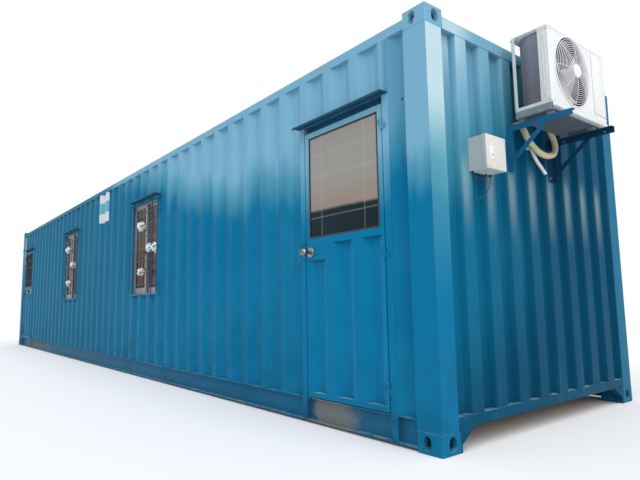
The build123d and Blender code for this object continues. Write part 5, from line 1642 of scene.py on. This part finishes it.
@dataclass
class ElectricalBox(Assembly):
    """The lid, marking strip, lamp, screws and cable glands of the electrical box."""

    lid_depth: float = 0.034
    lap: float = 0.0016
    strip_across: Span = (-0.817, -0.784)
    strip_up: Span = (1.673, 1.757)
    lamp: Span = (-0.801, 1.696)
    inset: float = 0.014
    screw: float = 0.0034
    extra_screw: Span = (-0.743, 1.664)
    bore: float = 0.0026
    glands: tuple[Point, ...] = ((6.110, -0.660, 0.010), (6.108, -0.840, 0.007), (6.108, -0.700, 0.007))

    def build(self) -> None:
        """Build the box's pieces."""
        low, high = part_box("electrical_box")
        lap, front = self.lap, high.x + self.lap
        lid = Shape().slab((high.x - self.lid_depth, front), (low.y - lap, high.y + lap),
                           (low.z - lap, high.z + lap), 0.004, 3)
        self.shape("box_lid", lid, BOX)
        strip = Shape().slab((front - 0.001, front + 0.005), self.strip_across, self.strip_up, 0.002, 3)
        self.shape("box_strip", strip, BOX_WINDOW)
        lamp = Shape().lathe(((0.0, 0.0), (0.006, 0.0), (0.006, 0.002), (0.004, 0.0035), (0.0, 0.004)),
                             Vector((front + 0.0046, *self.lamp)), OUT_END, 20)
        self.shape("box_lamp", lamp, LAMP_RED)
        left, right, foot, head = (low.y + self.inset, high.y - self.inset, low.z + self.inset,
                                   high.z - self.inset)
        corners = (self.extra_screw, (left, foot), (left, head), (right, head), (right, foot))
        places = placed(OUT_END, *((front + 0.0002, y, z) for y, z in corners))
        self.repeats.screws.run(self.bench, "box_screws", BOX, {"Radius": self.screw}, places)
        glands, bore = Shape(), self.bore
        for x, y, radius in self.glands:
            glands.lathe(((bore, 0.0), (radius, 0.0), (radius, 0.007), (radius * 0.8, 0.009),
                          (radius * 0.5, 0.018), (bore, 0.020), (bore, 0.0)),
                         Vector((x, y, low.z)), -UP, 20)
        self.shape("box_glands", glands, RUBBER)


@dataclass
class Door(Assembly):
    """The gasket, inner bars, lock parts and screws of one door."""

    side: int
    prefix: str
    leaf: Body
    knob: Body
    gasket: float = 0.009
    bar: float = 0.011
    rim: float = 0.012
    keyed: bool = True
    tab_face: float = -1.2204
    jamb_back: float = 0.003
    screw: float = 0.0042
    screw_inset: float = 0.012
    screw_rise: float = 0.018
    hinge_heights: Point = (1.949, 1.135, 0.317)

    def glazing(self) -> None:
        """Build the gasket round the pane and the bars behind it."""
        low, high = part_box(f"{self.prefix}_glass")
        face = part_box(f"{self.prefix}_leaf")[0].y
        edge, proud = 0.002, 0.0012
        outer, inner = (((low.x - off, high.x + off), (low.z - off, high.z + off))
                        for off in (edge, -self.gasket))
        gasket = Shape().ring(outer, inner, (face - proud, low.y))
        self.shape(f"{self.prefix}_gasket", gasket, RUBBER, self.leaf)
        back, half = (high.y + 0.002, high.y + 0.014), self.bar / 2
        places = [low.x + share * (high.x - low.x) for share in BARS_ACROSS]
        full = (low.x + self.rim, high.x - self.rim)
        bars = Shape()
        for x in places:
            bars.slab(about(x, half), back, (low.z + self.rim, high.z - self.rim), 0.002)
        for share, ends in zip(BARS_DOWN, (full, places, full)):
            bars.slab(ends, back, about(high.z - share * (high.z - low.z), half), 0.002)
        self.shape(f"{self.prefix}_inner_bars", bars, ALUMINIUM, self.leaf)

    def lock(self) -> None:
        """Build the key way in the knob's end, and a key with a spare on its ring."""
        low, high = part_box(f"{self.prefix}_knob")
        middle = (low + high) / 2
        x, y, z = end = Vector((middle.x, low.y, middle.z))
        way = Shape().lathe(((0.0, -0.002), (0.008, -0.002), (0.008, 0.0012), (0.0, 0.0016)), end,
                            OUT_FRONT, 24)
        self.shape(f"{self.prefix}_key_way", way, BRASS, self.knob)
        if not self.keyed:
            return
        shaft, blade, spare = 0.0011, 0.001, x - 0.008
        keys = Shape().slab(about(x, shaft), (y - 0.009, y + 0.004), about(z, 0.004), 0.0004)
        keys.lathe(((0.0, -shaft), (0.010, -shaft), (0.011, 0.0), (0.010, shaft), (0.0, shaft)),
                   Vector((x, y - 0.017, z)), OUT_END, 24)
        ring, wire, sides = 0.0105, 0.0009, 6
        turns = (2 * math.pi * k / sides for k in range(sides + 1))
        keys.lathe([(ring + wire * math.cos(a), wire * math.sin(a)) for a in turns],
                   Vector((x, y - 0.019, z - 0.016)), Vector((0.35, 0.9, 0.0)).normalized(), 24)
        keys.lathe(((0.0, -blade), (0.010, -blade), (0.010, blade), (0.0, blade)),
                   Vector((spare, y - 0.014, z - 0.031)), OUT_END, 24)
        keys.slab(about(spare, blade), (y - 0.018, y - 0.011), (z - 0.078, z - 0.038), 0.0004)
        self.shape(f"{self.prefix}_keys", keys, BRASS, self.knob)

    def screws(self) -> None:
        """Put screws in the hinge tabs on the leaf and on the jamb."""
        hinges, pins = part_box(f"{self.prefix}_hinges"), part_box("door_hinge_pins")
        inner, outer = (hinges[0].x, pins[1].x) if self.side > 0 else (hinges[1].x, pins[0].x)
        inset, rise, face = self.side * self.screw_inset, self.screw_rise, self.tab_face
        for name, body, x, y, off in (("leaf", self.leaf, inner + inset, face, rise),
                                      ("jamb", Body.ROOT, outer - inset, face - self.jamb_back, -rise)):
            places = placed(OUT_FRONT, *((x, y, z + off) for z in self.hinge_heights))
            self.repeats.screws.run(self.bench, f"{self.prefix}_{name}_screws", FITTING_PAINT,
                                    {"Radius": self.screw}, places, body)

    def build(self) -> None:
        """Build every piece of the door."""
        self.glazing()
        self.lock()
        self.screws()


@dataclass
class Window(Assembly):
    """The latch, grille welds and crumpled stuffing of one window."""

    prefix: str
    middle: float
    seed: int
    lumps: tuple[Point, ...]
    uprights: tuple[float, ...] = (-0.408, -0.300, 0.320, 0.481)
    top: float = 1.942
    rows: int = 7
    row_step: float = 0.1425
    bar_face: float = -1.2597
    weld: float = 0.0066
    weld_seed: int = 7
    lump_face: float = -1.222
    crumple: float = 0.9
    latch_face: float = -1.196
    latch_height: float = 1.48

    def build(self) -> None:
        """Build the window's pieces."""
        middle = self.middle
        face, height = self.latch_face, self.latch_height
        latch = Shape().slab(about(middle - 0.022, 0.008), (face, face + 0.013), about(height, 0.04), 0.003)
        latch.slab(about(middle - 0.022, 0.005), (face - 0.009, face + 0.006), about(height, 0.01), 0.002)
        self.shape(f"{self.prefix}_latch", latch, RUBBER)
        places = placed(OUT_FRONT, *((middle + x, self.bar_face, self.top - row * self.row_step)
                                     for row in range(self.rows)
                                     for x in (self.uprights[1:3] if row % 3 else self.uprights)))
        self.repeats.beads.run(self.bench, f"{self.prefix}_grille_welds", FITTING_PAINT,
                          {"Radius": self.weld, "Seed": self.weld_seed}, places, smooth=WELD_SMOOTH)
        for index, (x, z, radius) in enumerate(self.lumps):
            values = {"Radius": radius, "Crumple": radius * self.crumple, "Seed": index * 3 + self.seed}
            self.repeats.lumps.run(self.bench, f"{self.prefix}_stuffing_{index + 1}", PAPER, values,
                              placed(OUT_FRONT, (x, self.lump_face, z)), smooth=CRUMPLE_SMOOTH)


@dataclass
class Shell(Assembly):
    """Weld seams, a stud and a plain plate on the walls."""

    bead: float = 0.0046
    pitch: float = 0.0125
    seam: Span = (0.20, 2.48)
    side_seam: Span = (5.9185, 1.2158)
    end_seam: Span = (6.0895, 1.069)
    end_seam_top: float = 2.46
    casting_seams: tuple[tuple[str, float], ...] = (("bottom", 0.119), ("top", 2.472))
    casting_beads: tuple[int, int] = (13, 10)
    casting_pitch: Span = (0.0132, 0.0142)
    casting_start: Span = (5.925, 1.075)
    casting_face: Span = (6.0935, 1.2165)
    casting_seed: int = 9
    stud_radius: float = 0.009
    stud: Point = (5.896, -1.2154, 2.052)
    fold: tuple[Span, ...] = (
        (-0.218, -1.1935), (-0.177, -1.2155), (-0.103, -1.2155), (-0.035, -1.1795),
        (0.035, -1.1795), (0.103, -1.2155), (0.177, -1.2155), (0.214, -1.1959))
    plate: Span = (2.062, 2.488)
    band: Span = (2.20, 2.36)

    def welds(self) -> None:
        """Run weld beads up the seams between posts and walls, and along the castings."""
        seams: list[Placed] = []
        (side_x, side_y), (end_x, end_y) = self.side_seam, self.end_seam
        for index in range(int((self.seam[1] - self.seam[0]) / self.pitch)):
            z = self.seam[0] + index * self.pitch
            for way in SIDES:
                seams += placed((0.0, way, 0.0), *((side * side_x, way * side_y, z) for side in SIDES))
            if z < self.end_seam_top:
                for side in SIDES:
                    seams += placed((side, 0.0, 0.0), *((side * end_x, way * end_y, z) for way in SIDES))
        self.repeats.beads.run(self.bench, "seam_welds", POST_PAINT, {"Radius": self.bead}, seams,
                               smooth=WELD_SMOOTH)
        (along, across), (step_x, step_y) = self.casting_beads, self.casting_pitch
        (start_x, start_y), (face_x, face_y) = self.casting_start, self.casting_face
        for level, z in self.casting_seams:
            seams = []
            for side in SIDES:
                for way in SIDES:
                    seams += placed((0.0, way, 0.0), *((side * (start_x + k * step_x), way * face_y, z)
                                                       for k in range(along)))
                    seams += placed((side, 0.0, 0.0), *((side * face_x, way * (start_y + k * step_y), z)
                                                        for k in range(across)))
            self.repeats.beads.run(self.bench, f"casting_welds_{level}", CASTING_PAINT,
                              {"Radius": self.bead, "Seed": self.casting_seed}, seams, smooth=WELD_SMOOTH)

    def build(self) -> None:
        """Build the welds, the stud by the near post and the plain plate with its band."""
        self.welds()
        self.repeats.screws.run(self.bench, "wall_stud", FITTING_PAINT, {"Radius": self.stud_radius},
                                placed(OUT_FRONT, self.stud))
        for name, span, thickness, finish in (("wall_plate", self.plate, 0.0012, PLATE),
                                              ("wall_plate_band", self.band, 0.0018, PLATE_BAND)):
            self.shape(name, Shape().sheet(self.fold, span, thickness), finish)


@dataclass
class Interior(Assembly):
    """Joint strips on the linings and the ceiling, and skirtings."""

    strip: float = 0.04
    thick: float = 0.003
    sunk: float = 0.0014
    strips: int = 9
    pitch: float = 1.2
    wall: float = 1.1268
    end: float = 5.9932
    floor: float = 0.175
    ceiling: float = 2.440
    skirting: float = 0.08
    board: float = 0.012

    def build(self) -> None:
        """Build the strips and the skirtings."""
        middle, tall = (self.floor + self.ceiling) / 2, self.ceiling - self.floor
        upright = (self.strip, self.thick, tall)
        across = (self.strip, 2 * self.wall, self.thick)
        for name, y, z, size in (("front_lining", self.sunk - self.wall, middle, upright),
                                 ("back_lining", self.wall - self.sunk, middle, upright),
                                 ("ceiling", 0.0, self.ceiling - self.sunk, across)):
            values = {"Count": self.strips, "Start": (-(self.strips // 2) * self.pitch, y, z),
                      "Step": (self.pitch, 0.0, 0.0), "Size": size}
            self.repeats.row.run(self.bench, f"{name}_strips", LINING, values)
        height = (self.floor, self.floor + self.skirting)
        boards = Shape().slab((-self.end, self.end), (self.wall - self.board, self.wall), height, 0.002)
        for span in ((-self.end, self.board - self.end), (self.end - self.board, self.end)):
            boards.slab(span, (-self.wall, self.wall - self.board - 0.001), height, 0.002)
        self.shape("skirtings", boards, LINING)


def main() -> None:
    """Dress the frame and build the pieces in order."""
    logging.basicConfig(level=logging.INFO, format="%(name)s: %(message)s")
    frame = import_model()
    studio = Studio()
    studio.camera()
    bench = Bench(Effects())
    tools = (bench, Repeats())
    BoxWires(*tools).build()
    studio.light()
    studio.floor()
    bench.dress_nodes(frame)
    for part in (
            AirConditioner(*tools), ElectricalBox(*tools),
            Door(*tools, 1, "near_door", Body.NEAR_DOOR, Body.NEAR_KNOB),
            Door(*tools, -1, "far_door", Body.FAR_DOOR, Body.FAR_KNOB, keyed=False),
            Window(*tools, "near_window", 1.7, 4, ((1.617, 1.801, 0.056), (1.905, 1.517, 0.052),
                                                   (2.032, 1.504, 0.056), (1.617, 1.248, 0.05))),
            Window(*tools, "far_window", -1.7, 19, ((-1.846, 1.810, 0.055), (-1.505, 1.537, 0.052),
                                                    (-1.797, 1.242, 0.05))),
            Shell(*tools), Interior(*tools)):
        part.build()
    LOG.info("%d pieces built", bench.count)


if __name__ == "__main__":
    main()
